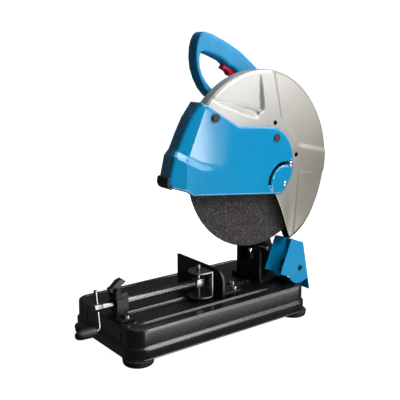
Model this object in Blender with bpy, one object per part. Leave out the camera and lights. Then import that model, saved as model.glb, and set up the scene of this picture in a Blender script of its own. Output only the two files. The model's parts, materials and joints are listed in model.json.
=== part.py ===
"""Abrasive chop saw: tray base, swinging motor head, cut-off wheel, quick-release vise and guards.

All dimensions below are in millimetres and the helpers turn them into metres.
X points to the wheel side, Y to the rear and Z up.  The model coordinates have their zero in the
middle of the base on the floor, and the root empty moves the whole saw so that the middle of its
footprint lies at the world origin.
"""
import math

import bmesh
import bpy
from mathutils import Matrix, Vector

MM = 0.001

# ---------------------------------------------------------------- driving dimensions
WHEEL_DIAMETER = 355.0
WHEEL_THICKNESS = 3.0
WHEEL_X = 82.5
ARBOR_RADIUS = 12.7

TABLE_HALF_WIDTH = 121.0
TABLE_HALF_LENGTH = 229.25
TABLE_CORNER = 32.5
TABLE_TOP = 72.8
SKIRT_FLARE = 5.0
SKIRT_BOTTOM = 12.7
RECESS_FLOOR = 67.8

HEAD_PIVOT = (205.0, 120.0)         # (y, z) of the swing axis
SPINDLE = (100.0, 355.0)            # (y, z) of the wheel axis, head raised
MOTOR = (145.0, 384.85)             # (y, z) of the armature axis, 54 mm from the spindle
GEAR_TEETH = 40
PINION_TEETH = 8
HEAD_SWING = 37.3                   # degrees from raised to the depth stop

GUARD_RADIUS = 193.0
GUARD_BACK_X = 74.5
GUARD_FRONT_X = 108.0
GUARD_SHEET = 2.0
GUARD_START = -62.0                 # degrees about the spindle, rear lower end
GUARD_BULGE = ((-62, 8.5), (-55, 11.5), (-48, 12.5), (-40, 11.5), (-30, 8.0), (-20, 4.0), (-10, 1.3), (0, 0.0))
GUARD_END = 160.0                   # front end, under the cover

COVER_X = 114.0
COVER_BACK_X = 72.0
COVER_HINGE = (155.0, 310.0)        # (y, z)
COVER_CLEAR_RADIUS = 267.0          # the cover's front box stays outside this, about its hinge
COVER_SLOT_RADIUS = 43.5
COVER_SLOT_START = 68.5
COVER_SLOT_END = 176.7

VISE_X = 42.0
VISE_Z = 107.0
JAW_PIN_Y = -19.0
CRANK_Y = -261.0
CRANK_TILT = 8.4                    # degrees from vertical
KNOB_END_Y = -312.0

FENCE_PIVOT = (54.0, 68.0)          # (x, y)
FENCE_LOCK = (28.0, 84.0)
FENCE_TOP = 131.0

SPARK_PIVOT = (215.0, 110.0)        # (y, z)
SPARK_NEAR_X = 108.3
SPARK_FAR_X = 56.7

LOCK_PIN = (163.0, 152.0)           # (y, z) of the transport lock pin
STOP_BOLT = (30.0, 136.0)           # (x, y)
STOP_HEIGHT = 151.5

TRIGGER_PIVOT = (66.0, 556.0)       # (y, z)
LEVER_PIVOT = (-222.0, 134.0)       # (y, z)
SPINDLE_LOCK = (71.8, 344.7)        # (y, z), 30 mm from the spindle
SPINDLE_LOCK_RADIUS = 30.0

HANDLE_FAR_X = 28.0
HANDLE_NEAR_X = 56.0
HANDLE_TOP = 621.0
MOTOR_END_X = -150.0

FOOT_REACH = (97.6, 205.9)
FOOT_RADIUS = 31.5

FOOTPRINT_X = (MOTOR_END_X, FOOT_REACH[0] + FOOT_RADIUS)
FOOTPRINT_Y = (KNOB_END_Y, SPINDLE[0] + GUARD_RADIUS)
CENTRE = (sum(FOOTPRINT_X) / 2, sum(FOOTPRINT_Y) / 2)

GAP = 0.3                           # between pieces that touch


# ---------------------------------------------------------------- outlines
def arc(centre, radius, start, end, count):
    """Points on a circle from start to end degrees, both ends included."""
    angles = [math.radians(start + (end - start) * i / count) for i in range(count + 1)]
    return [(centre[0] + radius * math.cos(a), centre[1] + radius * math.sin(a)) for a in angles]


def circle(centre, radius, count):
    return arc(centre, radius, 0.0, 360.0, count)[:-1]


def rounded_rectangle(low, high, radius, count=5):
    corners = [((high[0] - radius, high[1] - radius), 0), ((low[0] + radius, high[1] - radius), 90),
               ((low[0] + radius, low[1] + radius), 180), ((high[0] - radius, low[1] + radius), 270)]
    return [p for centre, a in corners for p in arc(centre, radius, a, a + 90, count)]


def arc_slot(centre, radius, half_width, start, end, count=12):
    """Curved slot with round ends."""
    ends = [arc(centre, radius, a, a, 1)[0] for a in (start, end)]
    return (arc(centre, radius + half_width, start, end, count)
            + arc(ends[1], half_width, end, end + 180, 5)[1:-1]
            + arc(centre, radius - half_width, end, start, count)
            + arc(ends[0], half_width, start + 180, start + 360, 5)[1:-1])


def hull(points):
    """Convex hull of 2-D points, anticlockwise."""
    ordered = sorted(set((round(x, 4), round(y, 4)) for x, y in points))

    def half(sequence):
        chain = []
        for p in sequence:
            while len(chain) > 1 and turn(chain[-2], chain[-1], p) <= 1e-9:
                chain.pop()
            chain.append(p)
        return chain[:-1]

    return half(ordered) + half(ordered[::-1])


def turn(a, b, c):
    return (b[0] - a[0]) * (c[1] - a[1]) - (b[1] - a[1]) * (c[0] - a[0])


def inset(outline, distance):
    """Outline moved inwards by a small distance, for an anticlockwise outline."""
    result = []
    count = len(outline)
    for i, point in enumerate(outline):
        before = Vector(point) - Vector(outline[i - 1])
        after = Vector(outline[(i + 1) % count]) - Vector(point)
        normals = [Vector((-d.y, d.x)).normalized() for d in (before, after)]
        bisector = normals[0] + normals[1]
        reach = distance / max(0.35, bisector.length_squared / 2)
        result.append(tuple(Vector(point) + bisector * reach))
    return result


def gear_outline(centre, root, tip, teeth, phase):
    """Narrow straight-sided teeth, first tooth centred on the phase angle in degrees."""
    pitch = 360.0 / teeth
    points = []
    for i in range(teeth):
        middle = phase + i * pitch
        for radius, part in ((root, -0.17), (tip, -0.10), (tip, 0.10), (root, 0.17)):
            points += arc(centre, radius, middle + part * pitch, 0, 1)[:1]
    return points


# ---------------------------------------------------------------- solids, in millimetres
def lift(point, axis, along):
    """2-D point of a cross-section placed on an axis: X takes (y, z), Y (x, z) and Z (x, y)."""
    u, v = point
    return {"X": (along, u, v), "Y": (u, along, v), "Z": (u, v, along)}[axis]


def finished_mesh(bm):
    bmesh.ops.recalc_face_normals(bm, faces=bm.faces)
    mesh = bpy.data.meshes.new("solid")
    bm.to_mesh(mesh)
    bm.free()
    return mesh


def loft(rings):
    """Closed solid through rings of equal point count, capped at both ends."""
    bm = bmesh.new()
    rows = [[bm.verts.new(p) for p in ring] for ring in rings]
    for lower, upper in zip(rows, rows[1:]):
        for i in range(len(lower)):
            j = (i + 1) % len(lower)
            bm.faces.new((lower[i], lower[j], upper[j], upper[i]))
    bm.faces.new(rows[0][::-1])
    bm.faces.new(rows[-1])
    return finished_mesh(bm)


def prism(outline, axis, low, high):
    return loft([[lift(p, axis, a) for p in outline] for a in (low, high)])


def stepped(outline, axis, steps):
    """Prism whose outline is inset by each step's amount: steps are (along, inset)."""
    return loft([[lift(p, axis, a) for p in inset(outline, d)] for a, d in steps])


def box(low, high, bevel=0.0):
    bm = bmesh.new()
    bmesh.ops.create_cube(bm, size=1.0)
    size = Vector(high) - Vector(low)
    middle = (Vector(high) + Vector(low)) / 2
    bmesh.ops.transform(bm, matrix=Matrix.Translation(middle) @ Matrix.Diagonal((*size, 1)), verts=bm.verts)
    if bevel:
        bmesh.ops.bevel(bm, geom=bm.edges[:], offset=bevel, segments=2, profile=0.5, affect="EDGES")
    return finished_mesh(bm)


def lathe(profile, axis, centre, segments=32, phase=0.0):
    """Turned solid: profile is (along, radius).  It ends on the axis, or it closes on itself."""
    bm = bmesh.new()
    rows = []
    for along, radius in profile:
        if radius < 1e-6:
            rows.append([bm.verts.new(lift(centre, axis, along))])
        else:
            rows.append([bm.verts.new(lift(p, axis, along))
                         for p in arc(centre, radius, phase, phase + 360.0, segments)[:-1]])
    on_axis = profile[0][1] < 1e-6
    pairs = list(zip(rows, rows[1:])) + ([] if on_axis else [(rows[-1], rows[0])])
    for a, b in pairs:
        for i in range(segments):
            j = (i + 1) % segments
            if len(a) == 1:
                bm.faces.new((a[0], b[j], b[i]))
            elif len(b) == 1:
                bm.faces.new((a[i], a[j], b[0]))
            else:
                bm.faces.new((a[i], a[j], b[j], b[i]))
    return finished_mesh(bm)


def rod(axis, centre, radius, low, high, segments=24):
    return lathe([(low, 0), (low, radius), (high, radius), (high, 0)], axis, centre, segments)


def ring(axis, centre, inner, outer, low, high, segments=32):
    return lathe([(low, inner), (low, outer), (high, outer), (high, inner)], axis, centre, segments)


def tube(points, radius, sides=8):
    """Round bar along a 3-D path, with flat ends."""
    path = [Vector(p) for p in points]
    last = len(path) - 1
    tangents = [(path[min(i + 1, last)] - path[max(i - 1, 0)]).normalized() for i in range(last + 1)]
    side = tangents[0].orthogonal().normalized()
    rings = []
    for point, tangent in zip(path, tangents):
        side = (side - tangent * side.dot(tangent)).normalized()
        other = tangent.cross(side)
        rings.append([point + radius * (side * math.cos(t) + other * math.sin(t))
                      for t in (2 * math.pi * k / sides for k in range(sides))])
    return loft(rings)


def temporary(mesh):
    obj = bpy.data.objects.new("temporary", mesh)
    bpy.context.collection.objects.link(obj)
    return obj


def combine(base, joins=(), cuts=()):
    """Mesh of the base with the joins added and then the cuts taken away."""
    body = temporary(base)
    tools = []
    for mesh, operation in [(m, "UNION") for m in joins] + [(m, "DIFFERENCE") for m in cuts]:
        tool = temporary(mesh)
        modifier = body.modifiers.new(operation, "BOOLEAN")
        modifier.object = tool
        modifier.operation = operation
        modifier.solver = "EXACT"
        tools.append(tool)
    graph = bpy.context.evaluated_depsgraph_get()
    result = bpy.data.meshes.new_from_object(body.evaluated_get(graph))
    for obj in tools + [body]:
        bpy.data.objects.remove(obj)
    return result


def joined(meshes):
    """One mesh of several solids that don't touch, used as a cutter."""
    bm = bmesh.new()
    for mesh in meshes:
        bm.from_mesh(mesh)
    result = bpy.data.meshes.new("cutters")
    bm.to_mesh(result)
    bm.free()
    return result


def bevelled(mesh, width, segments=2, angle=60.0):
    """The mesh with its sharp edges rounded."""
    body = temporary(mesh)
    modifier = body.modifiers.new("edges", "BEVEL")
    modifier.width = width
    modifier.segments = segments
    modifier.limit_method = "ANGLE"
    modifier.angle_limit = math.radians(angle)
    graph = bpy.context.evaluated_depsgraph_get()
    result = bpy.data.meshes.new_from_object(body.evaluated_get(graph))
    bpy.data.objects.remove(body)
    return result


# ---------------------------------------------------------------- scene tree and finishes
GROUPS = {}

PAINT_BLACK = ((0.020, 0.019, 0.018), 0.38, 0.0)
PLASTIC_BLACK = ((0.018, 0.018, 0.020), 0.55, 0.0)
RUBBER = ((0.014, 0.014, 0.014), 0.85, 0.0)
COVER_BLUE = ((0.0, 0.325, 0.665), 0.28, 0.0)
HANDLE_BLUE = ((0.045, 0.36, 0.72), 0.42, 0.0)
SILVER_PAINT = ((0.62, 0.60, 0.56), 0.42, 0.35)
STEEL = ((0.56, 0.55, 0.53), 0.34, 1.0)
CHROME = ((0.80, 0.80, 0.81), 0.12, 1.0)
CAST = ((0.46, 0.46, 0.45), 0.48, 0.85)
LAMINATION = ((0.30, 0.29, 0.28), 0.50, 0.9)
COPPER = ((0.72, 0.34, 0.18), 0.30, 1.0)
ABRASIVE = ((0.072, 0.062, 0.060), 0.92, 0.0)
TRIGGER_RED = ((0.55, 0.012, 0.045), 0.35, 0.0)


def group(name, parent=None, at=(0.0, 0.0, 0.0)):
    """Empty at a point of the model, given in millimetres."""
    empty = bpy.data.objects.new(name, None)
    bpy.context.collection.objects.link(empty)
    empty.empty_display_size = 0.02
    GROUPS[name] = Vector(at)
    if parent is None:
        empty.location = -Vector((*CENTRE, 0.0)) * MM
    else:
        empty.parent = bpy.data.objects[parent]
        empty.location = (GROUPS[name] - GROUPS[parent]) * MM
    return empty


def material(name, finish):
    colour, roughness, metallic = finish
    mat = bpy.data.materials.new(name + "_finish")
    mat.use_nodes = True
    shader = mat.node_tree.nodes["Principled BSDF"]
    shader.inputs["Base Color"].default_value = (*colour, 1.0)
    shader.inputs["Roughness"].default_value = roughness
    shader.inputs["Metallic"].default_value = metallic
    mat.diffuse_color = (*colour, 1.0)
    return mat


def part(name, mesh, finish, parent):
    """Named sub-part under its group's empty, whose place is the joint axis of what moves."""
    mesh.transform(Matrix.Scale(MM, 4) @ Matrix.Translation(-GROUPS[parent]))
    mesh.name = name
    mesh.materials.clear()
    mesh.materials.append(material(name, finish))
    obj = bpy.data.objects.new(name, mesh)
    bpy.context.collection.objects.link(obj)
    obj.parent = bpy.data.objects[parent]
    return obj


def make_groups():
    yz = {"head": HEAD_PIVOT, "spindle_axis": SPINDLE, "armature_axis": MOTOR,
          "cover_hinge": COVER_HINGE, "trigger_pivot": TRIGGER_PIVOT, "spindle_lock_axis": SPINDLE_LOCK}
    group("chop_saw")
    group("base", "chop_saw")
    group("head", "base", (0.0, *yz.pop("head")))
    for name, (y, z) in yz.items():
        group(name, "head", (0.0, y, z))
    group("lock_button_axis", "head", (HANDLE_FAR_X, 78.0, 566.0))
    group("lock_pin_axis", "base", (0.0, *LOCK_PIN))
    group("spark_guard_hinge", "base", (0.0, *SPARK_PIVOT))
    group("fence_hinge", "base", (*FENCE_PIVOT, TABLE_TOP))
    group("lever_pivot", "base", (VISE_X, *LEVER_PIVOT))
    group("vise_carriage", "base", (VISE_X, JAW_PIN_Y, VISE_Z))
    group("jaw_swivel", "vise_carriage", (VISE_X, JAW_PIN_Y, VISE_Z))
    group("screw_axis", "vise_carriage", (VISE_X, CRANK_Y, VISE_Z))
    group("knob_axis", "screw_axis", crank_foot())


# ---------------------------------------------------------------- base
def table_ring(z, extra):
    size = (TABLE_HALF_WIDTH + extra, TABLE_HALF_LENGTH + extra)
    outline = rounded_rectangle((-size[0], -size[1]), size, TABLE_CORNER + extra)
    return [(x, y, z) for x, y in outline]


def make_base_tray():
    """Pressed tray: flared skirt with a ledge, a sunk track, the wheel slot and two hinge ears."""
    flare = SKIRT_FLARE
    outer = loft([table_ring(z, e) for z, e in (
        (SKIRT_BOTTOM, flare), (32.5, flare), (35.0, 3.6), (37.5, 1.2),
        (TABLE_TOP - 2.6, 0.0), (TABLE_TOP - 0.7, -0.8), (TABLE_TOP, -2.6))])
    hollow = loft([table_ring(z, e) for z, e in (
        (SKIRT_BOTTOM - 3, flare - 4), (31.0, flare - 4), (36.0, -3.5), (62.4, -4.5))])
    track = prism(rounded_rectangle((21.5, -194), (87.5, 142), 6, 3), "Z", RECESS_FLOOR, TABLE_TOP + 9)
    slot = prism(rounded_rectangle((77, -125), (87.4, 95), 4.5, 3), "Z", 55, TABLE_TOP + 10)
    bolt_holes = joined([rod("Z", at, 4.3, 55, TABLE_TOP + 11) for at in (FENCE_PIVOT, FENCE_LOCK)])
    front = -TABLE_HALF_LENGTH
    panel = prism(rounded_rectangle((-70, 40), (70, 62), 5, 3), "Y", front - 9, front + 1.2)
    ears = [hinge_ear(x) for x in (59.2, 102.0)]
    cuts = [hollow, track, slot, bolt_holes, panel, rod("X", SPARK_PIVOT, 4.3, 50, 120)]
    part("base_tray", combine(outer, ears, cuts), PAINT_BLACK, "base")


def hinge_ear(x):
    y, z = SPARK_PIVOT
    outline = [(y - 12, 66.0), (y + 7, 66.0)] + arc((y - 2.5, z), 9.5, 0, 180, 8)
    outline = hull(outline + circle(SPARK_PIVOT, 9.0, 16))
    return prism(outline, "X", x, x + 3.8)


def make_feet():
    for side, sx in (("left", -1), ("right", 1)):
        for end, sy in (("front", -1), ("rear", 1)):
            rim = SKIRT_BOTTOM - GAP
            profile = [(0, 0), (0, FOOT_RADIUS - 3), (2, FOOT_RADIUS - 1.5), (rim, FOOT_RADIUS), (rim, 15),
                       (62.0, 13), (62.0, 0)]
            foot = lathe(profile, "Z", (sx * FOOT_REACH[0], sy * FOOT_REACH[1]), 24)
            part(f"foot_{end}_{side}", foot, RUBBER, "base")


def make_pivot_bracket():
    """Fork that carries the head, with the lug for the depth stop and the lock pin bore."""
    low = TABLE_TOP + GAP
    cheek = [(141, low + 2), (228, low + 2), (228, 120)] + arc(HEAD_PIVOT, 23, 0, 70, 5)[1:] + [
        (184, 150), (172, 160), (156, 160), (152, 148), (141, 147)]
    foot = box((-40, 141, low), (56, 226, low + 7))
    cheeks = [prism(cheek, "X", x, x + 10) for x in (-22, 16)]
    wall = box((-13, 141, low + 1), (17, 149, 118))
    wing = box((17, 141, low + 1), (56, 147, 146))
    lug = box((22, 130, 128), (38, 142, 141))
    bores = [rod("X", HEAD_PIVOT, 6.15, -60, 60), rod("X", LOCK_PIN, 3.25, 10, 40, 16),
             rod("Z", STOP_BOLT, 3.15, 110, 145, 16)]
    part("pivot_bracket", combine(foot, [*cheeks, wall, wing, lug], bores), PAINT_BLACK, "base")


def make_pivot_hardware():
    profile = [(-30, 0), (-30, 9), (-22.4, 9), (-22.4, 6), (26.4, 6), (26.4, 9), (33, 9), (33, 0)]
    part("pivot_shaft", lathe(profile, "X", HEAD_PIVOT, 24), STEEL, "base")
    turns, steps, wire = 3, 14, 1.15
    coil = [(-10.2 + 6.2 * k / (turns * steps), HEAD_PIVOT[0] + 12 * math.cos(2 * math.pi * k / steps),
             HEAD_PIVOT[1] + 12 * math.sin(2 * math.pi * k / steps)) for k in range(turns * steps + 1)]
    part("return_spring", tube(coil, wire, 6), STEEL, "base")
    neck = STOP_HEIGHT - 5
    bolt = [(126, 0), (126, 3), (neck, 3), (neck, 5), (STOP_HEIGHT, 4.6), (STOP_HEIGHT, 0)]
    part("depth_stop_bolt", lathe(bolt, "Z", STOP_BOLT, 12), CHROME, "base")
    pin = [(17, 0), (17, 2.4), (18, 3), (56, 3), (56, 4.5), (60, 4.5), (60, 0)]
    part("lock_pin", lathe(pin, "X", LOCK_PIN, 16), CHROME, "lock_pin_axis")


# ---------------------------------------------------------------- vise and fence
def make_vise_bracket():
    """Nut housing on a pedestal, with the ears of the quick-release lever."""
    low = TABLE_TOP + GAP
    foot = box((14, -228, low), (67.5, -190, low + 6), 1.0)
    pedestal = box((32, -226, low + 3), (52, -200, 96))
    body = prism([(28, 92), (57, 92), (57, 120), (52, 128), (33, 128), (28, 120)], "Y", -226, -200)
    ear = hull([(-228, 118), (-210, 118)] + circle(LEVER_PIVOT, 5.5, 12))
    ears = [prism(ear, "X", x, x + 6) for x in (28, 51)]
    cuts = [rod("Y", (VISE_X, VISE_Z), 8.15, -240, -190), rod("X", LEVER_PIVOT, 3.2, 20, 64, 16),
            joined([rod("Z", at, 3.2, 60, 90, 16) for at in BRACKET_BOLTS]),
            box((34.2, -232, 125), (50.8, -196, 150))]
    part("vise_bracket", combine(foot, [pedestal, body, *ears], cuts), PAINT_BLACK, "base")


BRACKET_BOLTS = ((59.8, -206.5), (22.0, -208.0))


def hex_bolt(at, seat, length, head=6.5, height=5.0, shank=3.0):
    """Hexagon bolt standing on a seat at height z, shank downwards."""
    head_mesh = prism(circle(at, head, 6), "Z", seat, seat + height)
    return combine(head_mesh, [rod("Z", at, shank, seat - length, seat + 1, 16)])


def make_bolts():
    seat = TABLE_TOP + GAP + 6 + GAP
    for number, at in enumerate(BRACKET_BOLTS, 1):
        part(f"vise_bracket_bolt_{number}", hex_bolt(at, seat, 5.6), CHROME, "base")
    seat = TABLE_TOP + 0.5 + 5 + GAP
    part("fence_pivot_bolt", hex_bolt(FENCE_PIVOT, seat, 20, 7.5, 5.5, 4.0), CHROME, "base")
    part("fence_lock_bolt", hex_bolt(FENCE_LOCK, seat, 20, 7.5, 5.5, 4.0), CHROME, "base")


def make_half_nut_lever():
    hook = [(-236, 139.5), (-229.5, 142), (-218, 152.5), (-208.5, 155.5), (-200.5, 149.5), (-203, 146.5),
            (-210, 143), (-214.5, 137), (-217, 131), (-228, 130.5), (-235, 134)]
    lever = combine(prism(hook[::-1], "X", 36, 49), [rod("X", LEVER_PIVOT, 2.9, 28.5, 56.5, 16)])
    part("half_nut_lever", lever, PLASTIC_BLACK, "lever_pivot")


def make_fence():
    """Steel angle: upright face, low foot with the arc slot of the lock bolt."""
    low = TABLE_TOP + 0.5
    corner = arc((48, FENCE_TOP - 28), 28, 0, 90, 8)
    face = [(-90, low), (76, low)] + corner + [(-90, FENCE_TOP)]
    foot = [(-36, 25), (70, 25), (70, 74), (58, 84), (34, 99), (14, 99), (6, 62), (-36, 46)]
    reach = math.dist(FENCE_PIVOT, FENCE_LOCK)
    start = math.degrees(math.atan2(FENCE_LOCK[1] - FENCE_PIVOT[1], FENCE_LOCK[0] - FENCE_PIVOT[0]))
    gusset = prism([(25, low + 3), (70, low + 3), (25, low + 40)], "X", -34, -29)
    cuts = [rod("Z", FENCE_PIVOT, 4.2, 60, 90, 24),
            prism(arc_slot(FENCE_PIVOT, reach, 4.6, start, start + 46), "Z", 60, 90)]
    body = prism(face, "Y", 20, 26)
    part("fence", combine(body, [prism(foot, "Z", low, low + 5), gusset], cuts), PAINT_BLACK, "fence_hinge")


def crank_foot():
    """Point at the lower end of the crank bar, where the knob's axis starts."""
    tilt = math.radians(CRANK_TILT)
    return (VISE_X + 44 * math.sin(tilt), CRANK_Y, VISE_Z - 44 * math.cos(tilt))


def make_vise_screw():
    profile = [(-271, 0), (-271, 6.5), (-269, 8.6), (-252, 8.6), (-250, 8.0), (-31, 8.0), (-30, 5.0),
               (-15, 5.0), (-15, 0)]
    screw = lathe(profile, "Y", (VISE_X, VISE_Z), 24)
    tilt = math.radians(CRANK_TILT)
    direction = Vector((math.sin(tilt), 0, -math.cos(tilt)))
    hub = Vector((VISE_X, CRANK_Y, VISE_Z))
    hole = tube([hub - direction * 12, hub + direction * 12], 4.1, 16)
    part("vise_screw", combine(screw, cuts=[hole]), CHROME, "screw_axis")
    foot = Vector(crank_foot())
    bend = [foot - direction * 8 + Vector((0, -8 * (1 - math.cos(a)), 0)) + direction * 8 * math.sin(a)
            for a in (math.radians(15 * k) for k in range(7))]
    path = [hub - direction * 34, *bend, foot + Vector((0, -36, 0))]
    part("crank_bar", tube(path, 3.75, 12), CHROME, "screw_axis")
    bore = [(-300.5, 0), (-300.5, 4.1), (-270, 4.1)]
    grip = [(-270, 8.5), (-273, 10.5), (-300, 9.6), (-309, 7.5), (KNOB_END_Y, 4.1), (KNOB_END_Y, 0)]
    part("crank_knob", lathe(bore + grip, "Y", (foot.x, foot.z), 20), PLASTIC_BLACK, "knob_axis")


def make_vise_jaw():
    """Folded steel jaw: face plate with a rounded plate above and below, turning on an upright pin."""
    plate = [(17, 1), (17, -14)] + arc((VISE_X, -16), 25, 180, 360, 12) + [(67, -14), (67, 1)]
    face = box((17, -2.2, 76), (67, 1, 133))
    plates = [prism(plate, "Z", z, z + 3) for z in (76, 130)]
    hole = rod("Z", (VISE_X, JAW_PIN_Y), 4.25, 60, 150, 24)
    part("vise_jaw", combine(face, plates, [hole]), STEEL, "jaw_swivel")
    pin = rod("Z", (VISE_X, JAW_PIN_Y), 4.0, 69.5, 146, 24)
    block = box((33, -29.6, 98), (51, -9, 116), 2.0)
    bore = rod("Y", (VISE_X, VISE_Z), 5.15, -40, -14.6, 24)
    part("jaw_pin_block", combine(block, [pin], [bore]), STEEL, "vise_carriage")


# ---------------------------------------------------------------- spark guard
def make_spark_guard():
    """Open sheet channel behind the wheel, tilting on a through bolt."""
    y, z = SPARK_PIVOT
    flange = [(156, 106), (183, 95.5)] + arc(SPARK_PIVOT, 35.8, 204, 298, 10)[1:] + [
        (241.5, 80), (223.5, 166.5), (219, 169.5), (190, 178.5), (185, 177.5)]
    web = [(221, 166), (246.6, 53), (249, 53), (223.8, 167.5)]
    near = prism(flange, "X", SPARK_NEAR_X - 2, SPARK_NEAR_X)
    far = prism(flange, "X", SPARK_FAR_X, SPARK_FAR_X + 2)
    back = prism(web, "X", SPARK_FAR_X + 0.4, SPARK_NEAR_X - 0.4)
    hole = rod("X", (y, z), 4.25, 50, 115, 24)
    part("spark_guard", combine(near, [back, far], [hole]), COVER_BLUE, "spark_guard_hinge")
    bolt = [(53.5, 0), (53.5, 6), (56.3, 6), (56.3, 4), (108.7, 4), (108.7, 5.8), (111, 5.2), (111, 0)]
    part("spark_guard_bolt", lathe(bolt, "X", SPARK_PIVOT, 20), PLASTIC_BLACK, "base")


# ---------------------------------------------------------------- head casting and gears
def make_head_casting():
    """Arm and gear case in one casting: open to the wheel side, bored for shafts and locks."""
    case = hull(circle(SPINDLE, 56, 32) + circle(MOTOR, 54, 32))
    arm = hull(circle(HEAD_PIVOT, 20, 20) + circle((125, 300), 24, 20))
    rib = hull(circle((156, 238), 15, 16) + circle((118, 308), 22, 20))
    seat = box((30, 96, 425), (54, 170, 462), 1.5)
    joins = [prism(arm, "X", -11.5, 15.5), prism(rib, "X", -8, 40), seat, stop_ear()]
    gear_room = hull(circle(SPINDLE, 49.5, 32) + circle(MOTOR, 18, 24))
    locks = [lock_hole(), rod("X", SPINDLE_LOCK, 3.3, -5, 30, 16), rod("X", SPINDLE_LOCK, 8.5, -5, 7, 20)]
    seats = [rod("X", SPINDLE, 16.1, 6, 30), rod("X", MOTOR, 14.1, -5, 30)]
    hinge = [rod("X", HEAD_PIVOT, 6.15, -30, 30), rod("X", HEAD_PIVOT, 18, -20, -2.5, 24)]
    cuts = [prism(gear_room, "X", 18, 70), *seats, *hinge, *locks]
    part("head_casting", combine(prism(case, "X", 0, 58), joins, cuts), CAST, "head")


def stop_ear():
    """Pad that lands on the stop bolt at the end of the swing."""
    contact = turned((STOP_BOLT[1], STOP_HEIGHT + 0.5), -HEAD_SWING)
    along = Vector(turned((STOP_BOLT[1] + 1, STOP_HEIGHT + 0.5), -HEAD_SWING)) - Vector(contact)
    up = Vector((-along.y, along.x))
    corners = [Vector(contact) + along * a + up * b for a, b in ((-8, 0), (8, 0), (8, 13), (-8, 13))]
    return prism([tuple(c) for c in corners], "X", 12, 37)


def turned(point, angle):
    """Point (y, z) turned about the head pivot."""
    offset = Vector(point) - Vector(HEAD_PIVOT)
    return tuple(Vector(HEAD_PIVOT) + Matrix.Rotation(math.radians(angle), 2) @ offset)


def lock_hole():
    """Bore that the lock pin enters when the head is down."""
    return rod("X", turned(LOCK_PIN, -HEAD_SWING), 4.0, -20, 20, 16)


def make_gear_case_cover():
    plate = hull(circle(SPINDLE, 56, 32) + circle(MOTOR, 54, 32))
    joins = [ring("X", SPINDLE, 46, 55.5, 60, 74.2), ring("X", SPINDLE, 20.1, 25, 50, 60)]
    cuts = [rod("X", SPINDLE, 20.1, 45, 61.2), rod("X", SPINDLE, 10.5, 55, 80)]
    part("gear_case_cover", combine(prism(plate, "X", 58.3, 64.3), joins, cuts), CAST, "head")


def make_gears():
    mesh_angle = math.degrees(math.atan2(MOTOR[1] - SPINDLE[1], MOTOR[0] - SPINDLE[0]))
    teeth = gear_outline(SPINDLE, 43.4, 46.0, GEAR_TEETH, mesh_angle)
    lock_angle = math.degrees(math.atan2(SPINDLE_LOCK[1] - SPINDLE[1], SPINDLE_LOCK[0] - SPINDLE[0]))
    spots = arc(SPINDLE, SPINDLE_LOCK_RADIUS, lock_angle, lock_angle + 360, 6)[:-1]
    holes = joined([rod("X", at, 4.2, 20, 50, 12) for at in spots])
    gear = combine(prism(teeth, "X", 28, 44), cuts=[rod("X", SPINDLE, 10.1, 20, 50), holes])
    part("spindle_gear", gear, STEEL, "spindle_axis")
    shaft = [(-122.5, 0), (-122.5, 4), (-108, 4), (-108, 6), (30, 6), (30, 0)]
    pinion_phase = mesh_angle + 180 + 180 / PINION_TEETH
    pinion = prism(gear_outline(MOTOR, 7.4, 10.0, PINION_TEETH, pinion_phase), "X", 26, 46)
    part("armature_shaft", combine(lathe(shaft, "X", MOTOR, 24), [pinion]), STEEL, "armature_axis")


def make_bearings():
    seats = {"spindle_bearing_inner": (SPINDLE, 7.65, 15.8, 6.3, 17.5),
             "spindle_bearing_outer": (SPINDLE, 8.65, 19.8, 50.5, 60.9),
             "armature_bearing_front": (MOTOR, 6.15, 13.8, 5, 14),
             "armature_bearing_rear": (MOTOR, 4.15, 11.0, -122.6, -115)}
    for name, (centre, bore, outside, low, high) in seats.items():
        part(name, ring("X", centre, bore, outside, low, high), STEEL, "head")


def make_spindle():
    profile = [(6.5, 0), (6.5, 7.5), (18.5, 7.5), (18.5, 9.9), (50, 9.9), (50, 8.5), (88, 8.5), (88, 4.3),
               (66, 4.3), (66, 0)]
    part("spindle", lathe(profile, "X", SPINDLE), STEEL, "spindle_axis")
    face = WHEEL_X - WHEEL_THICKNESS / 2
    back = WHEEL_X + WHEEL_THICKNESS / 2
    inner = [(66.5, 8.8), (66.5, 15), (76, 15), (76.5, 38), (face - 1, 38), (face - 1, 30), (face - 2, 27),
             (face - GAP, 26), (face - GAP, 12.3), (back - 0.4, 12.3), (back - 0.4, 8.8)]
    part("inner_flange", lathe(inner, "X", SPINDLE, 32), STEEL, "spindle_axis")
    outer = [(back + GAP, 8.8), (back + GAP, 38), (back + 3, 38), (back + 5.5, 26), (back + 5.5, 8.8)]
    part("outer_flange", lathe(outer, "X", SPINDLE, 32), STEEL, "spindle_axis")
    seat = back + 5.5 + GAP
    head = prism(circle(SPINDLE, 9.8, 6), "X", seat + 2, seat + 8.5)
    washer = rod("X", SPINDLE, 12, seat, seat + 2.5)
    bolt = combine(head, [washer, rod("X", SPINDLE, 4, 68, seat + 3)])
    part("wheel_bolt", bolt, CHROME, "spindle_axis")
    wheel = ring("X", SPINDLE, ARBOR_RADIUS, WHEEL_DIAMETER / 2, face, back, 80)
    part("cutting_wheel", wheel, ABRASIVE, "spindle_axis")


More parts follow.
